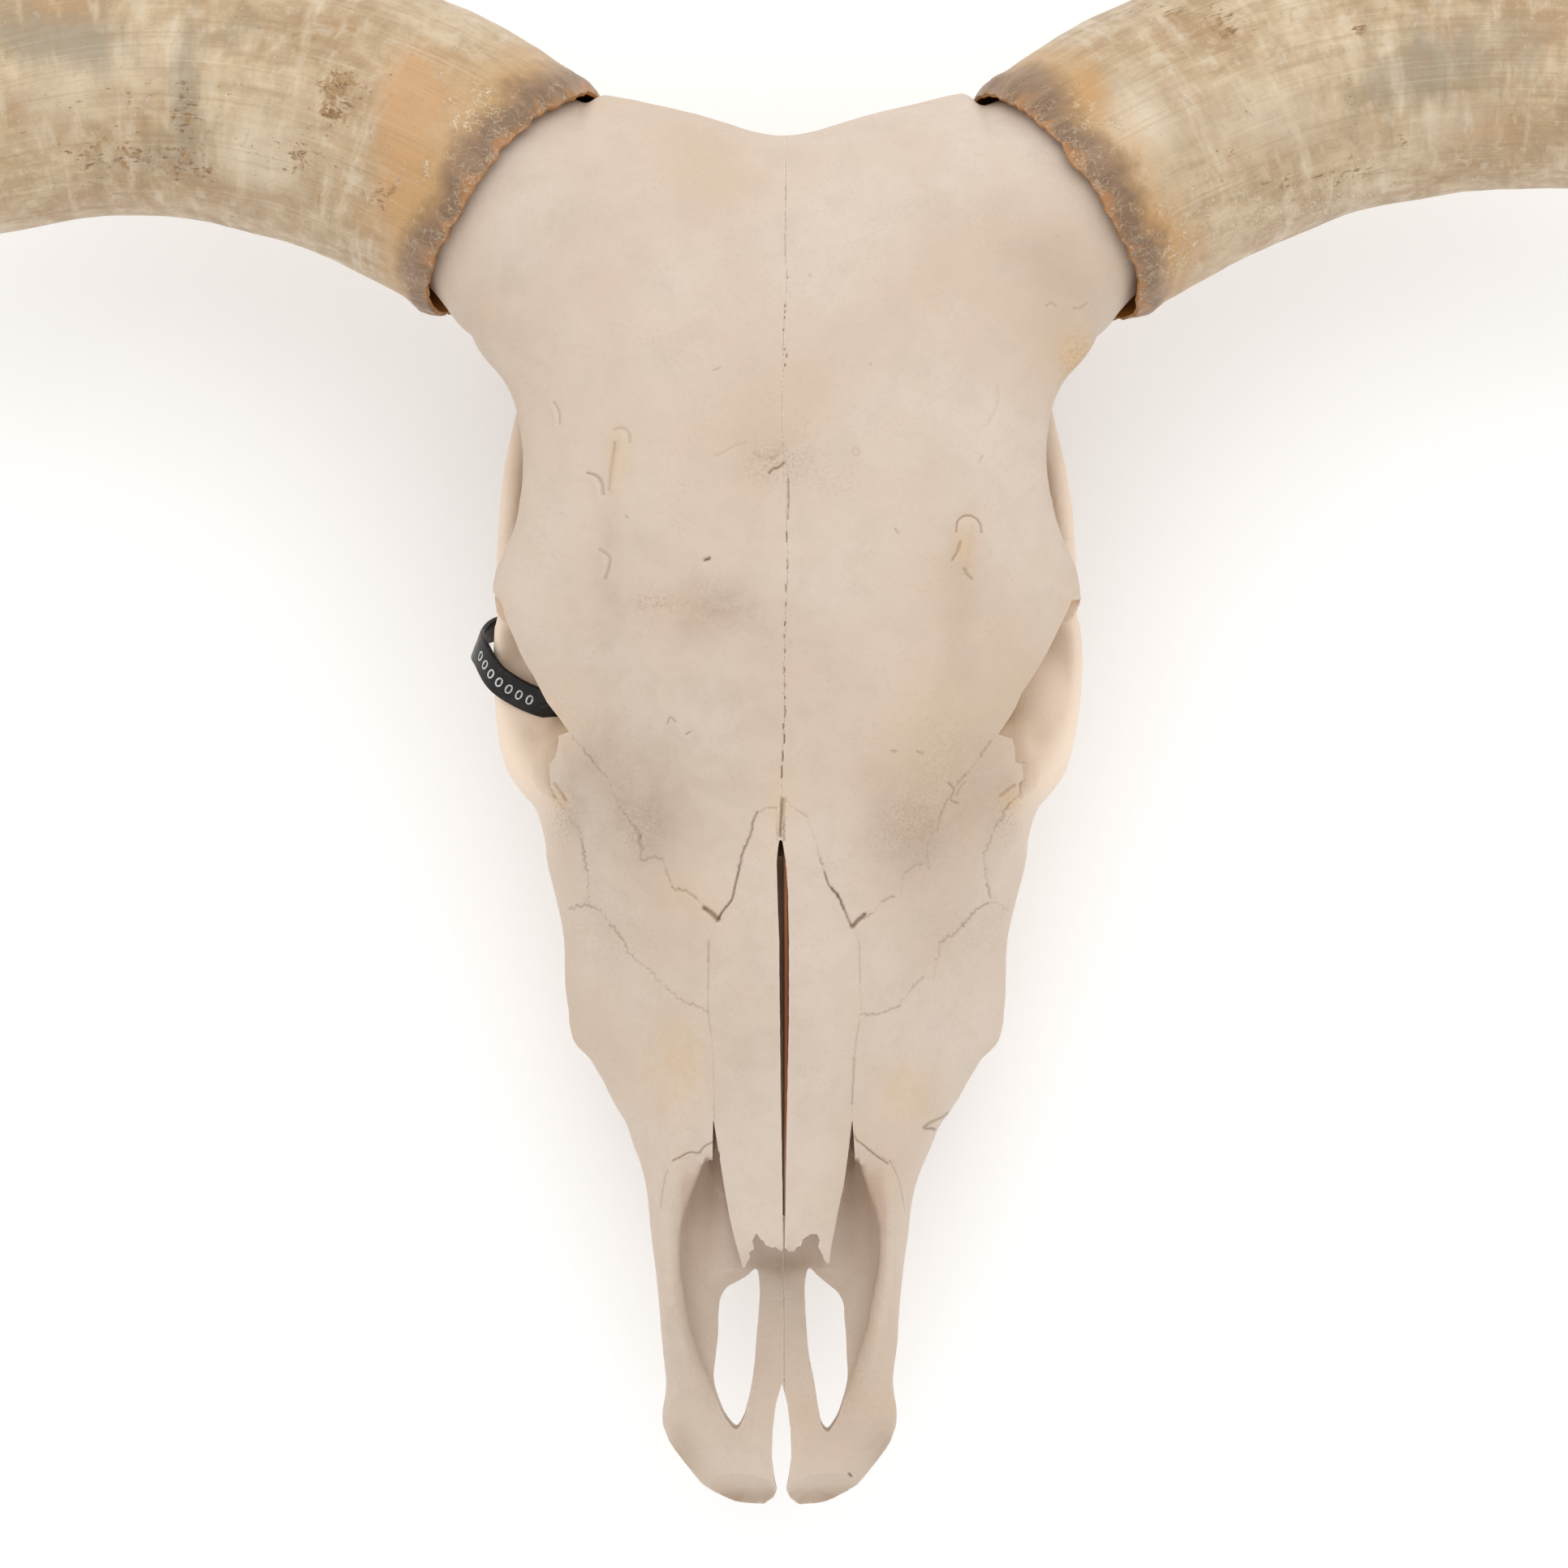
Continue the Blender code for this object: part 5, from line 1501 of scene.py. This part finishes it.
def nose_shade_and_brown(points, normals):
    """Brown in the nose: faint painted shade on the walls that face the middle, stronger lower down, and full
    brown on the septum.
    """
    inward = np.clip(0.2 - 3 * normals[:, 0] * np.sign(points[:, 0]), 0, 1)
    passage = np.clip((points[:, 1] + 205) / 40, 0, 1) * np.clip((20 - points[:, 1]) / 10, 0, 1)
    inside = (np.abs(points[:, 0]) < 40) & (points[:, 2] > 80)
    brown = 0.2 * inside * inward * passage * np.clip((165 - points[:, 2]) / 40, 0, 1)
    rows = np.array(SEPTUM[::-1])
    crest = np.interp(points[:, 1], rows[:, 1], rows[:, 2] + rows[:, 4])
    septum = (np.abs(points[:, 0] - 0.6) < 2.6) & (points[:, 1] < -20) & (points[:, 1] > -168)
    septum &= (points[:, 2] > 130) & (points[:, 2] < crest + 1.5)
    brown[septum] = np.interp(points[septum, 1], (-150, -125), (0.35, 1.0))
    return brown


def paint_bone(bone):
    points, normals = corners_of(bone), normals_of(bone)
    seen = np.clip(normals[:, 2] * 3, 0, 1)
    places = photo_place(points)
    stain = np.zeros(len(points))
    for width, _, strength, line in strokes:
        if strength > 0:
            found = strength_at(points, normals, line, width * 0.7)
            stain = np.maximum(stain, strength * found)
    low = np.clip((152 - points[:, 2]) / 8, 0, 1) * (points[:, 2] > 80)
    # Painted shade in the eye socket under the thin brow edge, laid on with the ochre colour.
    brow_shade = sum(np.exp(-plan_distance(points[:, :2], plate_edge[side]) / 9) for side in (1, -1))
    brow_shade *= low * np.clip((points[:, 1] - 5) / 20, 0, 1)
    painted = {
        "stain": stain,
        # Painted shade and grey-brown patches.
        "shade": spots(places, SHADE_SPOTS) * seen,
        # Ochre patches, and the painted shade under the brow edges.
        "ochre_and_brow_shade": np.clip(spots(places, OCHRE_SPOTS) * seen + 0.75 * brow_shade, 0, 1),
        # Painted light, where the sockets, temples and nose lie in shade.
        "pale": spots(places, PAINTED_LIGHT_SPOTS) * low,
        "rough": spots(places, ROUGH_SPOTS) * seen,
        # Painted shade deep in the nose, and the brown of the septum.
        "inner": nose_shade_and_brown(points, normals),
        # Painted shade in hollows and painted light on bulges.
        "hollow": np.clip(hollowness(bone, points, normals) * 4, -1, 1),
    }
    for name, values in painted.items():
        add_values(bone, name, values)


for bone in bones:
    paint_bone(bone)
print("bones painted")

# %% [markdown]
# ## Colour of the horns
# The horns are painted in the same way: orange and cream zones past the rim, grey clouds further out,
# and brown blotches where the outer layer is worn. The unseen outer halves follow the species, and
# darken towards the tip.

# %% Paint the horns
CREAM_SPOTS = [
    (1392, 165, 48, 70, 0.85), (1560, 150, 110, 60, 0.5), (330, 190, 90, 70, 0.5), (150, 80, 90, 60, 0.35),
    (60, 130, 60, 60, 0.4), (1800, 150, 80, 50, 0.4), (500, 110, 40, 80, 0.25), (1440, 250, 40, 40, 0.3),
]  # fmt: skip
ORANGE_SPOTS = [
    (508, 110, 38, 60, 1.0), (495, 205, 40, 60, 0.8), (560, 100, 40, 60, 0.4), (1337, 110, 26, 40, 0.9),
    (1405, 290, 45, 45, 0.9), (1480, 300, 60, 30, 0.45), (520, 300, 40, 40, 0.5), (470, 260, 50, 30, 0.35),
]  # fmt: skip
GREY_SPOTS = [
    (1758, 80, 45, 45, 0.9), (222, 95, 18, 75, 0.8), (60, 55, 60, 26, 0.8), (300, 40, 60, 30, 0.3),
    (1700, 110, 60, 40, 0.4), (180, 200, 70, 30, 0.4), (250, 160, 30, 60, 0.4), (1850, 60, 60, 60, 0.5),
    (20, 30, 60, 30, 0.5), (120, 50, 40, 40, 0.5), (1640, 30, 60, 40, 0.25),
]  # fmt: skip
BROWN_SPOTS = [
    (420, 100, 36, 26, 0.8), (410, 140, 30, 20, 0.8), (150, 195, 60, 24, 0.5), (1522, 184, 12, 12, 0.9),
    (1675, 37, 16, 10, 0.9), (1727, 174, 12, 16, 0.7), (1515, 35, 34, 20, 0.8), (1440, 12, 90, 12, 0.6),
    (370, 195, 40, 24, 0.6), (1600, 225, 80, 26, 0.45), (1680, 210, 40, 20, 0.4), (240, 210, 40, 16, 0.5),
    (480, 240, 30, 18, 0.5), (330, 30, 60, 20, 0.35), (1560, 120, 30, 20, 0.3), (230, 130, 14, 60, 0.5),
    (180, 150, 260, 120, 0.3), (1660, 120, 14, 60, 0.45), (470, 260, 30, 30, 0.4),
]  # fmt: skip
SCURF_SPOTS = [
    (600, 137, 34, 44, 0.8), (520, 325, 24, 36, 0.9), (363, 192, 26, 18, 0.7), (570, 240, 16, 80, 0.6),
    (1560, 268, 120, 30, 0.9), (1440, 310, 40, 30, 0.8), (1340, 200, 22, 90, 0.8), (1650, 240, 60, 20, 0.7),
    (480, 120, 50, 60, 0.15), (500, 200, 40, 60, 0.15), (440, 250, 60, 30, 0.2), (1390, 340, 24, 30, 0.8),
]  # fmt: skip


def paint_horn(horn, seed):
    points, normals = corners_of(horn), normals_of(horn)
    places = photo_place(points)
    seen = np.clip(normals[:, 2] * 4 + 0.4, 0, 1)
    drum = np.empty(len(points) * 3, np.float32)
    horn.data.attributes["grain"].data.foreach_get("vector", drum)
    drum = drum.reshape(-1, 3) / MM
    along = drum[:, 2]
    cloud = wavy(drum * (1, 1, 0.5), 26, seed)
    spread = np.clip(wavy(drum * (1, 1, 0.6), 13, seed + 1) * 2.2 - 0.35, 0, 1)
    unseen = np.clip((along - 230) / 60, 0, 1) + (1 - seen) * (along > 20)
    unseen = np.clip(unseen, 0, 1)
    near_rim = np.exp(-(((along - 34) / 22) ** 2))
    # Each colour: its spots in the picture, and what is added where nothing was seen.
    painted = {
        "cream": (CREAM_SPOTS, unseen * np.clip(cloud, 0, 1)),
        "orange": (ORANGE_SPOTS, unseen * near_rim * np.clip(0.5 + cloud, 0, 1)),
        "grey": (GREY_SPOTS, unseen * np.clip(-cloud, 0, 1)),
        "brown": (BROWN_SPOTS, unseen * spread * 0.7),
        "scurf": (SCURF_SPOTS, np.exp(-along / 10) * 0.8),
    }
    for name, (table, more) in painted.items():
        add_values(horn, name, np.clip(spots(places, table) * seen + more, 0, 1))


for horn, seed in zip(horns, (21, 34)):
    paint_horn(horn, seed)
print("horns painted")

# %% [markdown]
# ## Building materials from nodes
# A material is a small machine: noise and stored values go in, and colour, roughness and bump come out.
# The helper below adds one node with its inputs, so that a cell reads as a list of steps. Colours are
# given as the picture's own 0 to 255 values and turned into the linear ones that the renderer uses.


# %% Node helpers
def tint(red, green, blue):
    """A colour from 0 to 255 per channel, as the renderer's linear values."""
    return (*[((c / 255 + 0.055) / 1.055) ** 2.4 for c in (red, green, blue)], 1)


def feed(tree, node, inputs):
    """Links or sets the inputs of a node. A value is a number, a colour or another node's output."""
    for key, value in inputs.items():
        if isinstance(value, bpy.types.NodeSocket):
            tree.links.new(value, node.inputs[key])
        else:
            node.inputs[key].default_value = value
    return node


def add(tree, kind, inputs=None, **settings):
    """Adds a node with its settings and inputs."""
    made = tree.nodes.new("ShaderNode" + kind)
    for key, value in settings.items():
        setattr(made, key, value)
    return feed(tree, made, inputs or {})


def over(tree, factor, below, above):
    """One colour laid over another by a factor."""
    made = add(tree, "Mix", {0: factor, 6: below, 7: above}, data_type="RGBA")
    return made.outputs[2]


def maths(tree, operation, first, second=0.0, third=0.0):
    made = add(tree, "Math", {0: first, 1: second, 2: third}, operation=operation)
    return made.outputs[0]


def span(tree, value, low, high, to_low=0.0, to_high=1.0):
    """Stretches a range of a value to another range, with clamped ends."""
    inputs = {"Value": value, "From Min": low, "From Max": high, "To Min": to_low, "To Max": to_high}
    return add(tree, "MapRange", inputs).outputs[0]


def cloud(tree, vector, scale, detail=3.0, roughness=0.55, distortion=0.0):
    inputs = {"Vector": vector, "Scale": scale, "Detail": detail, "Roughness": roughness}
    inputs["Distortion"] = distortion
    return add(tree, "TexNoise", inputs).outputs[0]


def stored(tree, name):
    return add(tree, "Attribute", attribute_name=name).outputs["Fac"]


def new_material(name):
    material = bpy.data.materials.new(name)
    material.use_nodes = True
    tree = material.node_tree
    return material, tree, tree.nodes["Principled BSDF"]


def connect(tree, shader, **values):
    """Feeds the shader's inputs, whose names are written with underscores."""
    feed(tree, shader, {key.replace("_", " "): value for key, value in values.items()})


def new_group(name, inputs, outputs):
    """An empty node group with these sockets, and its input and output nodes."""
    tree = bpy.data.node_groups.new(name, "ShaderNodeTree")
    for label, kind, value in inputs:
        socket = tree.interface.new_socket(name=label, in_out="INPUT", socket_type="NodeSocket" + kind)
        if value is not None:
            socket.default_value = value
    for label, kind in outputs:
        tree.interface.new_socket(name=label, in_out="OUTPUT", socket_type="NodeSocket" + kind)
    return tree, tree.nodes.new("NodeGroupInput").outputs, tree.nodes.new("NodeGroupOutput").inputs


def placed(tree, group, inputs):
    """Places a group in a material with its own values."""
    made = tree.nodes.new("ShaderNodeGroup")
    made.node_tree = group
    return feed(tree, made, inputs).outputs


# %% [markdown]
# ## Two shared effects
# Pores are the tiny mouths of vessels, in bone as in tooth roots: a Voronoi texture gives scattered
# cells, and noise keeps only some of them. Furrows are long fine lines, made by squeezing noise along
# one direction; horn, enamel and brushed plastic all show them at their own size.

# %% Shared node groups
pores, given, result = new_group(
    "pores",
    [("Vector", "Vector", None), ("Size", "Float", 600.0), ("Amount", "Float", 0.5)],
    [("Mask", "Float"), ("Height", "Float")],
)
cells = add(pores, "TexVoronoi", {"Vector": given["Vector"], "Scale": given["Size"], "Randomness": 1.0})
chance = cloud(pores, given["Vector"], 60.0, 2.0)
keep = maths(pores, "MULTIPLY", span(pores, chance, 0.42, 0.62), given["Amount"])
dot = span(pores, cells.outputs["Distance"], 0.05, 0.32, 1.0, 0.0)
mask = maths(pores, "MULTIPLY", dot, keep)
pores.links.new(mask, result["Mask"])
pores.links.new(maths(pores, "MULTIPLY", mask, -1.0), result["Height"])

furrows, given, result = new_group(
    "furrows",
    [("Vector", "Vector", None), ("Squeeze", "Vector", (1.0, 1.0, 0.05)), ("Size", "Float", 300.0)],
    [("Lines", "Float"), ("Cracks", "Float")],
)
squeezed = add(furrows, "VectorMath", {0: given["Vector"], 1: given["Squeeze"]}, operation="MULTIPLY")
lines = cloud(furrows, squeezed.outputs[0], given["Size"], 4.0, 0.6)
furrows.links.new(lines, result["Lines"])
furrows.links.new(span(furrows, lines, 0.36, 0.44, 1.0, 0.0), result["Cracks"])
print("node groups:", [group.name for group in bpy.data.node_groups])

# %% [markdown]
# ## Bone
# Dry bone is matt and slightly uneven in tone. Broad clouds mix two creams, the painted values add
# grey-brown, ochre and stain, with painted shade and painted light, and pores darken a few points. Bump
# comes from a fine grain and the pores, so that the surface breaks up light as bone does and never
# looks like plaster.

# %% Bone material
bone_material, tree, shader = new_material("bone")
place = add(tree, "TexCoord").outputs["Object"]
broad = cloud(tree, place, 14.0, 3.0)
patches = cloud(tree, place, 70.0, 4.0, 0.6, 0.6)
grain = cloud(tree, place, 480.0, 3.0, 0.7)
fine = cloud(tree, place, 1500.0, 2.0, 0.6)
holes = placed(tree, pores, {"Vector": place, "Size": 520.0, "Amount": 0.75})
colour = over(tree, span(tree, broad, 0.35, 0.68), tint(207, 191, 176), tint(200, 179, 158))
colour = over(tree, span(tree, patches, 0.45, 0.75, 0.0, 0.55), colour, tint(195, 178, 162))
# Painted shade and grey-brown patches.
shade = maths(tree, "MULTIPLY", stored(tree, "shade"), span(tree, patches, 0.2, 0.7, 0.5, 1.2))
colour = over(tree, maths(tree, "MINIMUM", shade, 0.9), colour, tint(160, 138, 116))
# Ochre patches, and painted shade under the brow edges.
ochre_and_brow_shade = maths(tree, "MULTIPLY", stored(tree, "ochre_and_brow_shade"), span(tree, patches, 0.25, 0.65, 0.4, 1.2))
colour = over(tree, maths(tree, "MINIMUM", ochre_and_brow_shade, 0.9), colour, tint(208, 176, 134))
colour = over(tree, span(tree, grain, 0.5, 0.85, 0.0, 0.22), colour, tint(182, 158, 138))
colour = over(tree, maths(tree, "MULTIPLY", holes["Mask"], 0.2), colour, tint(160, 128, 100))
pitting = span(tree, cloud(tree, place, 850.0, 3.0, 0.75), 0.4, 0.5, 1.0, 0.0)
pitted = maths(tree, "MULTIPLY", pitting, stored(tree, "rough"))
# Painted light: paler bone in the shaded sockets, temples and nose.
colour = over(tree, stored(tree, "pale"), colour, tint(238, 217, 196))
colour = over(tree, maths(tree, "MULTIPLY", pitted, 0.45), colour, tint(160, 134, 110))
hollow = stored(tree, "hollow")
# Painted shade in hollows and painted light on bulges.
colour = over(tree, span(tree, hollow, 0.12, 0.7, 0.0, 0.5), colour, tint(162, 130, 100))
colour = over(tree, span(tree, hollow, -0.5, -0.1, 0.35, 0.0), colour, tint(224, 208, 192))
# Painted shade deep in the nose, and the brown of the septum.
colour = over(tree, maths(tree, "MULTIPLY", stored(tree, "inner"), 0.95), colour, tint(168, 106, 72))
stain = maths(tree, "MULTIPLY", stored(tree, "stain"), span(tree, grain, 0.3, 0.7, 0.65, 1.15))
colour = over(tree, maths(tree, "MINIMUM", stain, 0.95), colour, tint(112, 84, 60))
relief = maths(tree, "MULTIPLY", grain, 0.5)
relief = maths(tree, "ADD", relief, maths(tree, "MULTIPLY", fine, 0.22))
relief = maths(tree, "ADD", relief, maths(tree, "MULTIPLY", holes["Height"], 0.9))
relief = maths(tree, "MULTIPLY_ADD", pitted, -1.2, relief)
bump = add(tree, "Bump", {"Strength": 0.35, "Distance": 0.35 * MM, "Height": relief})
matt = span(tree, grain, 0.3, 0.7, 0.52, 0.68)
connect(tree, shader, Base_Color=colour, Roughness=matt, Normal=bump.outputs[0], Specular_IOR_Level=0.35)

# %% [markdown]
# ## Teeth
# Enamel is ivory and glossier than bone, with brown cement in its furrows. The grinding face is worn
# and dark where the hollows fill with chewed food.

# %% Tooth material
tooth_material, tree, shader = new_material("tooth")
place = add(tree, "TexCoord").outputs["Object"]
patches = cloud(tree, place, 160.0, 4.0, 0.6)
ribs = placed(tree, furrows, {"Vector": place, "Squeeze": (1.0, 1.0, 0.12), "Size": 420.0})
holes = placed(tree, pores, {"Vector": place, "Size": 900.0, "Amount": 0.6})
colour = over(tree, span(tree, patches, 0.4, 0.65), tint(222, 206, 172), tint(176, 142, 98))
colour = over(tree, maths(tree, "MULTIPLY", ribs["Cracks"], 0.5), colour, tint(104, 74, 46))
colour = over(tree, maths(tree, "MULTIPLY", holes["Mask"], 0.5), colour, tint(84, 60, 40))
colour = over(tree, maths(tree, "MULTIPLY", stored(tree, "worn"), 0.85), colour, tint(120, 88, 56))
bump = add(tree, "Bump", {"Strength": 0.4, "Distance": 0.3 * MM, "Height": ribs["Lines"]})
satin = span(tree, patches, 0.3, 0.7, 0.28, 0.5)
connect(tree, shader, Base_Color=colour, Roughness=satin, Normal=bump.outputs[0])

# %% [markdown]
# ## Horn
# Keratin is a stack of thin layers, so its colours lie in soft clouds, crossed by streaks along the
# horn and by faint bands round it. The stored vector unrolls the horn, and noise squeezed along or
# round it gives both. The painted values place the zones. A zone is mixed in either softly or through
# a threshold that falls where the paint is strong, which breaks it up into small blotches.

# %% Horn material
horn_material, tree, shader = new_material("horn")
grain = add(tree, "Attribute", attribute_name="grain").outputs["Vector"]
along = stored(tree, "along")


def stretched(*factors):
    return add(tree, "VectorMath", {0: grain, 1: factors}, operation="MULTIPLY").outputs[0]


def soft_zone(name, texture, strength, low=0.15, high=0.8):
    """A painted value whose edge wanders with a texture."""
    value = maths(tree, "MULTIPLY_ADD", maths(tree, "SUBTRACT", texture, 0.5), 1.3, stored(tree, name))
    return maths(tree, "MULTIPLY", span(tree, value, low, high), strength)


def blotches_of(value, texture, strength, level=0.7, reach=0.24, edge=0.07):
    """Blotches of a texture that spread where the value is high."""
    raised = maths(tree, "MULTIPLY_ADD", value, reach, texture)
    return maths(tree, "MULTIPLY", span(tree, raised, level, level + edge), strength)


soft = cloud(tree, stretched(1.0, 1.0, 0.7), 50.0, 5.0, 0.62, 0.5)
streaks = cloud(tree, stretched(1.0, 1.0, 0.16), 190.0, 4.0, 0.6)
bands = cloud(tree, stretched(0.25, 0.25, 1.0), 120.0, 4.0, 0.6)
patches = cloud(tree, grain, 150.0, 6.0, 0.68, 0.4)
specks = cloud(tree, stretched(1.0, 1.0, 0.35), 520.0, 4.0, 0.7)
scratches = placed(tree, furrows, {"Vector": grain, "Squeeze": (1.0, 1.0, 0.01), "Size": 900.0})["Lines"]

colour = over(tree, span(tree, soft, 0.38, 0.64), tint(196, 174, 141), tint(168, 138, 101))
colour = over(tree, span(tree, streaks, 0.46, 0.72, 0.0, 0.6), colour, tint(154, 126, 90))
colour = over(tree, span(tree, bands, 0.5, 0.7, 0.0, 0.45), colour, tint(152, 129, 98))
colour = over(tree, span(tree, bands, 0.3, 0.46, 0.5, 0.0), colour, tint(214, 199, 175))
colour = over(tree, span(tree, patches, 0.36, 0.47, 0.35, 0.0), colour, tint(212, 198, 175))
colour = over(tree, soft_zone("cream", patches, 0.85), colour, tint(214, 199, 175))
colour = over(tree, soft_zone("grey", bands, 0.75), colour, tint(146, 133, 112))
colour = over(tree, soft_zone("orange", soft, 0.85), colour, tint(192, 147, 99))
colour = over(tree, span(tree, patches, 0.53, 0.72, 0.0, 0.55), colour, tint(150, 119, 82))
brown = stored(tree, "brown")
colour = over(tree, blotches_of(brown, patches, 0.8), colour, tint(150, 114, 66))
colour = over(tree, blotches_of(brown, specks, 0.8), colour, tint(116, 84, 48))
colour = over(tree, blotches_of(0.15, specks, 0.6), colour, tint(132, 100, 62))
colour = over(tree, span(tree, scratches, 0.56, 0.72, 0.0, 0.2), colour, tint(226, 208, 180))
colour = over(tree, span(tree, scratches, 0.3, 0.44, 0.3, 0.0), colour, tint(146, 116, 80))

# The collar: an amber border, a dark band of dried skin, and an orange lip.
wander = maths(tree, "MULTIPLY_ADD", maths(tree, "SUBTRACT", patches, 0.5), 0.009, along)
wander = maths(tree, "MULTIPLY_ADD", maths(tree, "SUBTRACT", soft, 0.5), 0.03, wander)
colour = over(tree, span(tree, wander, 0.013, 0.034, 0.8, 0.0), colour, tint(184, 142, 88))
colour = over(tree, span(tree, wander, 0.008, 0.019, 0.92, 0.0), colour, tint(117, 91, 68))
pale = maths(tree, "MULTIPLY", span(tree, wander, 0.009, 0.015, 0.7, 0.0), span(tree, streaks, 0.45, 0.65))
colour = over(tree, pale, colour, tint(152, 122, 92))
colour = over(tree, span(tree, wander, 0.0, 0.0035, 0.85, 0.0), colour, tint(166, 116, 70))

# Pale torn fibres: the borders of small bent cells.
bend = add(tree, "TexNoise", {"Vector": grain, "Scale": 260.0, "Detail": 2.0}).outputs["Color"]
bend = add(tree, "VectorMath", {0: bend, 1: (0.5, 0.5, 0.5)}, operation="SUBTRACT").outputs[0]
bend = add(tree, "VectorMath", {0: bend, "Scale": 0.009}, operation="SCALE").outputs[0]
bent_grain = add(tree, "VectorMath", {0: stretched(1.0, 1.0, 0.6), 1: bend}, operation="ADD").outputs[0]
net = add(tree, "TexVoronoi", {"Vector": bent_grain, "Scale": 240.0}, feature="DISTANCE_TO_EDGE").outputs[0]
fibre = span(tree, net, 0.012, 0.06, 1.0, 0.0)
scurf = blotches_of(stored(tree, "scurf"), patches, 1.0, 0.58, 0.3, 0.16)
fibre = maths(tree, "MULTIPLY", fibre, scurf)
fibre = maths(tree, "MULTIPLY", fibre, span(tree, wander, 0.01, 0.018, 0.45, 1.0))
colour = over(tree, maths(tree, "MULTIPLY", fibre, 0.6), colour, tint(226, 210, 184))

tip = span(tree, wander, 0.34, 0.56)
colour = over(tree, maths(tree, "MULTIPLY", tip, 0.9), colour, tint(50, 39, 31))
inside = span(tree, stored(tree, "wall"), 0.2, 0.8, 0.9, 0.0)
colour = over(tree, inside, colour, tint(176, 118, 44))
height = maths(tree, "MULTIPLY", scratches, 0.2)
height = maths(tree, "MULTIPLY_ADD", patches, 0.5, height)
height = maths(tree, "MULTIPLY_ADD", specks, 0.25, height)
height = maths(tree, "MULTIPLY_ADD", fibre, 0.6, height)
bump = add(tree, "Bump", {"Strength": 0.5, "Distance": 0.5 * MM, "Height": height})
satin = span(tree, patches, 0.3, 0.7, 0.34, 0.5)
connect(tree, shader, Base_Color=colour, Roughness=satin, Normal=bump.outputs[0])

# %% [markdown]
# ## Strap
# Moulded black plastic has a satin skin with faint scratches. The figures are pressed in white, and
# wear leaves them a little grey.

# %% Strap materials
strap_material, tree, shader = new_material("strap_plastic")
place = add(tree, "TexCoord").outputs["Object"]
scratches = placed(tree, furrows, {"Vector": place, "Squeeze": (0.3, 1.0, 1.0), "Size": 900.0})
blotches = cloud(tree, place, 220.0, 3.0)
colour = over(tree, span(tree, blotches, 0.4, 0.7), tint(12, 11, 11), tint(30, 25, 22))
colour = over(tree, maths(tree, "MULTIPLY", scratches["Cracks"], 0.12), colour, tint(110, 108, 106))
bump = add(tree, "Bump", {"Strength": 0.15, "Distance": 0.1 * MM, "Height": scratches["Lines"]})
satin = span(tree, blotches, 0.3, 0.7, 0.3, 0.45)
connect(tree, shader, Base_Color=colour, Roughness=satin, Normal=bump.outputs[0], Specular_IOR_Level=0.3)

figure_material, tree, shader = new_material("strap_figures")
place = add(tree, "TexCoord").outputs["Object"]
rubbed = cloud(tree, place, 900.0, 3.0, 0.7)
colour = over(tree, span(tree, rubbed, 0.45, 0.7), tint(216, 214, 208), tint(130, 128, 124))
connect(tree, shader, Base_Color=colour, Roughness=span(tree, rubbed, 0.3, 0.7, 0.4, 0.6))

# %% [markdown]
# ## Light and floor
# The photo is taken in soft light from all round, on white, with almost no shadow. A white world gives
# the even light, and one broad lamp above and a little towards the poll models the forms. The floor is
# a pale sheet.

# %% Light and floor
scene = bpy.context.scene
scene.view_settings.view_transform = "Standard"
world = bpy.data.worlds.new("studio")
scene.world = world
world.use_nodes = True
feed(world.node_tree, world.node_tree.nodes["Background"], {"Color": (1.0, 1.0, 1.0, 1), "Strength": 1.0})

lamp_data = bpy.data.lights.new("softbox", "AREA")
lamp_data.shape = "RECTANGLE"
lamp_data.size = 2.6
lamp_data.size_y = 2.0
lamp_data.energy = 16
lamp = bpy.data.objects.new("softbox", lamp_data)
scene.collection.objects.link(lamp)
lamp.location = (0.1, 1.3, 2.1)
lamp.rotation_euler = (Vector((0, 0.05, 0.1)) - lamp.location).to_track_quat("-Z", "Y").to_euler()

bpy.ops.object.select_all(action="DESELECT")
bpy.ops.mesh.primitive_plane_add(size=12)
floor = bpy.context.object
floor.name = "floor"
floor_material, tree, shader = new_material("pale_floor")
place = add(tree, "TexCoord").outputs["Object"]
paper = cloud(tree, place, 3.0, 2.0)
white = over(tree, paper, tint(250, 250, 250), tint(246, 246, 246))
connect(tree, shader, Base_Color=white, Roughness=0.9)
# The floor glows faintly, painted light that whitens its shadows and lifts the underside of the skull.
connect(tree, shader, Emission_Color=(1.0, 1.0, 1.0, 1), Emission_Strength=0.12)
floor.data.materials.append(floor_material)

# %% [markdown]
# ## Hand over
# Each piece goes to its place in the imported model, is shaded smooth with its cut edges kept, takes its
# material and hides the solid it stands for.


# %% Place the pieces
def hand_over(piece, material, slot, *nodes, angle=40):
    """Edges sharper than the angle, in degrees, stay crisp."""
    move_corners(piece, corners_of(piece) + np.array(SHIFT) / MM)
    pick(piece)
    bpy.ops.object.shade_smooth_by_angle(angle=math.radians(angle))
    piece.data.materials.clear()
    piece.data.materials.append(material)
    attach(piece, "root")
    if nodes:
        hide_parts(*nodes)


for row in teeth:
    points, normals = corners_of(row), normals_of(row)
    low = (LAST_MOLAR - points[:, 1]) * math.tan(TOOTH_TILT)
    add_values(row, "worn", np.clip(1.2 - (points[:, 2] - low) / 2.5, 0, 1))
for bone in bones:
    hand_over(bone, bone_material, "bone", bone.name.replace("bone_", ""))
for side, row, horn in zip((1, -1), teeth, horns):
    hand_over(row, tooth_material, "tooth", f"teeth_{SIDE_NAME[side]}")
    hand_over(horn, horn_material, "horn", f"horn_sheath_{SIDE_NAME[side]}", angle=60)
hand_over(band, strap_material, "strap_plastic", "tag_strap")
hand_over(strap_text, figure_material, "strap_plastic")
print("pieces placed")
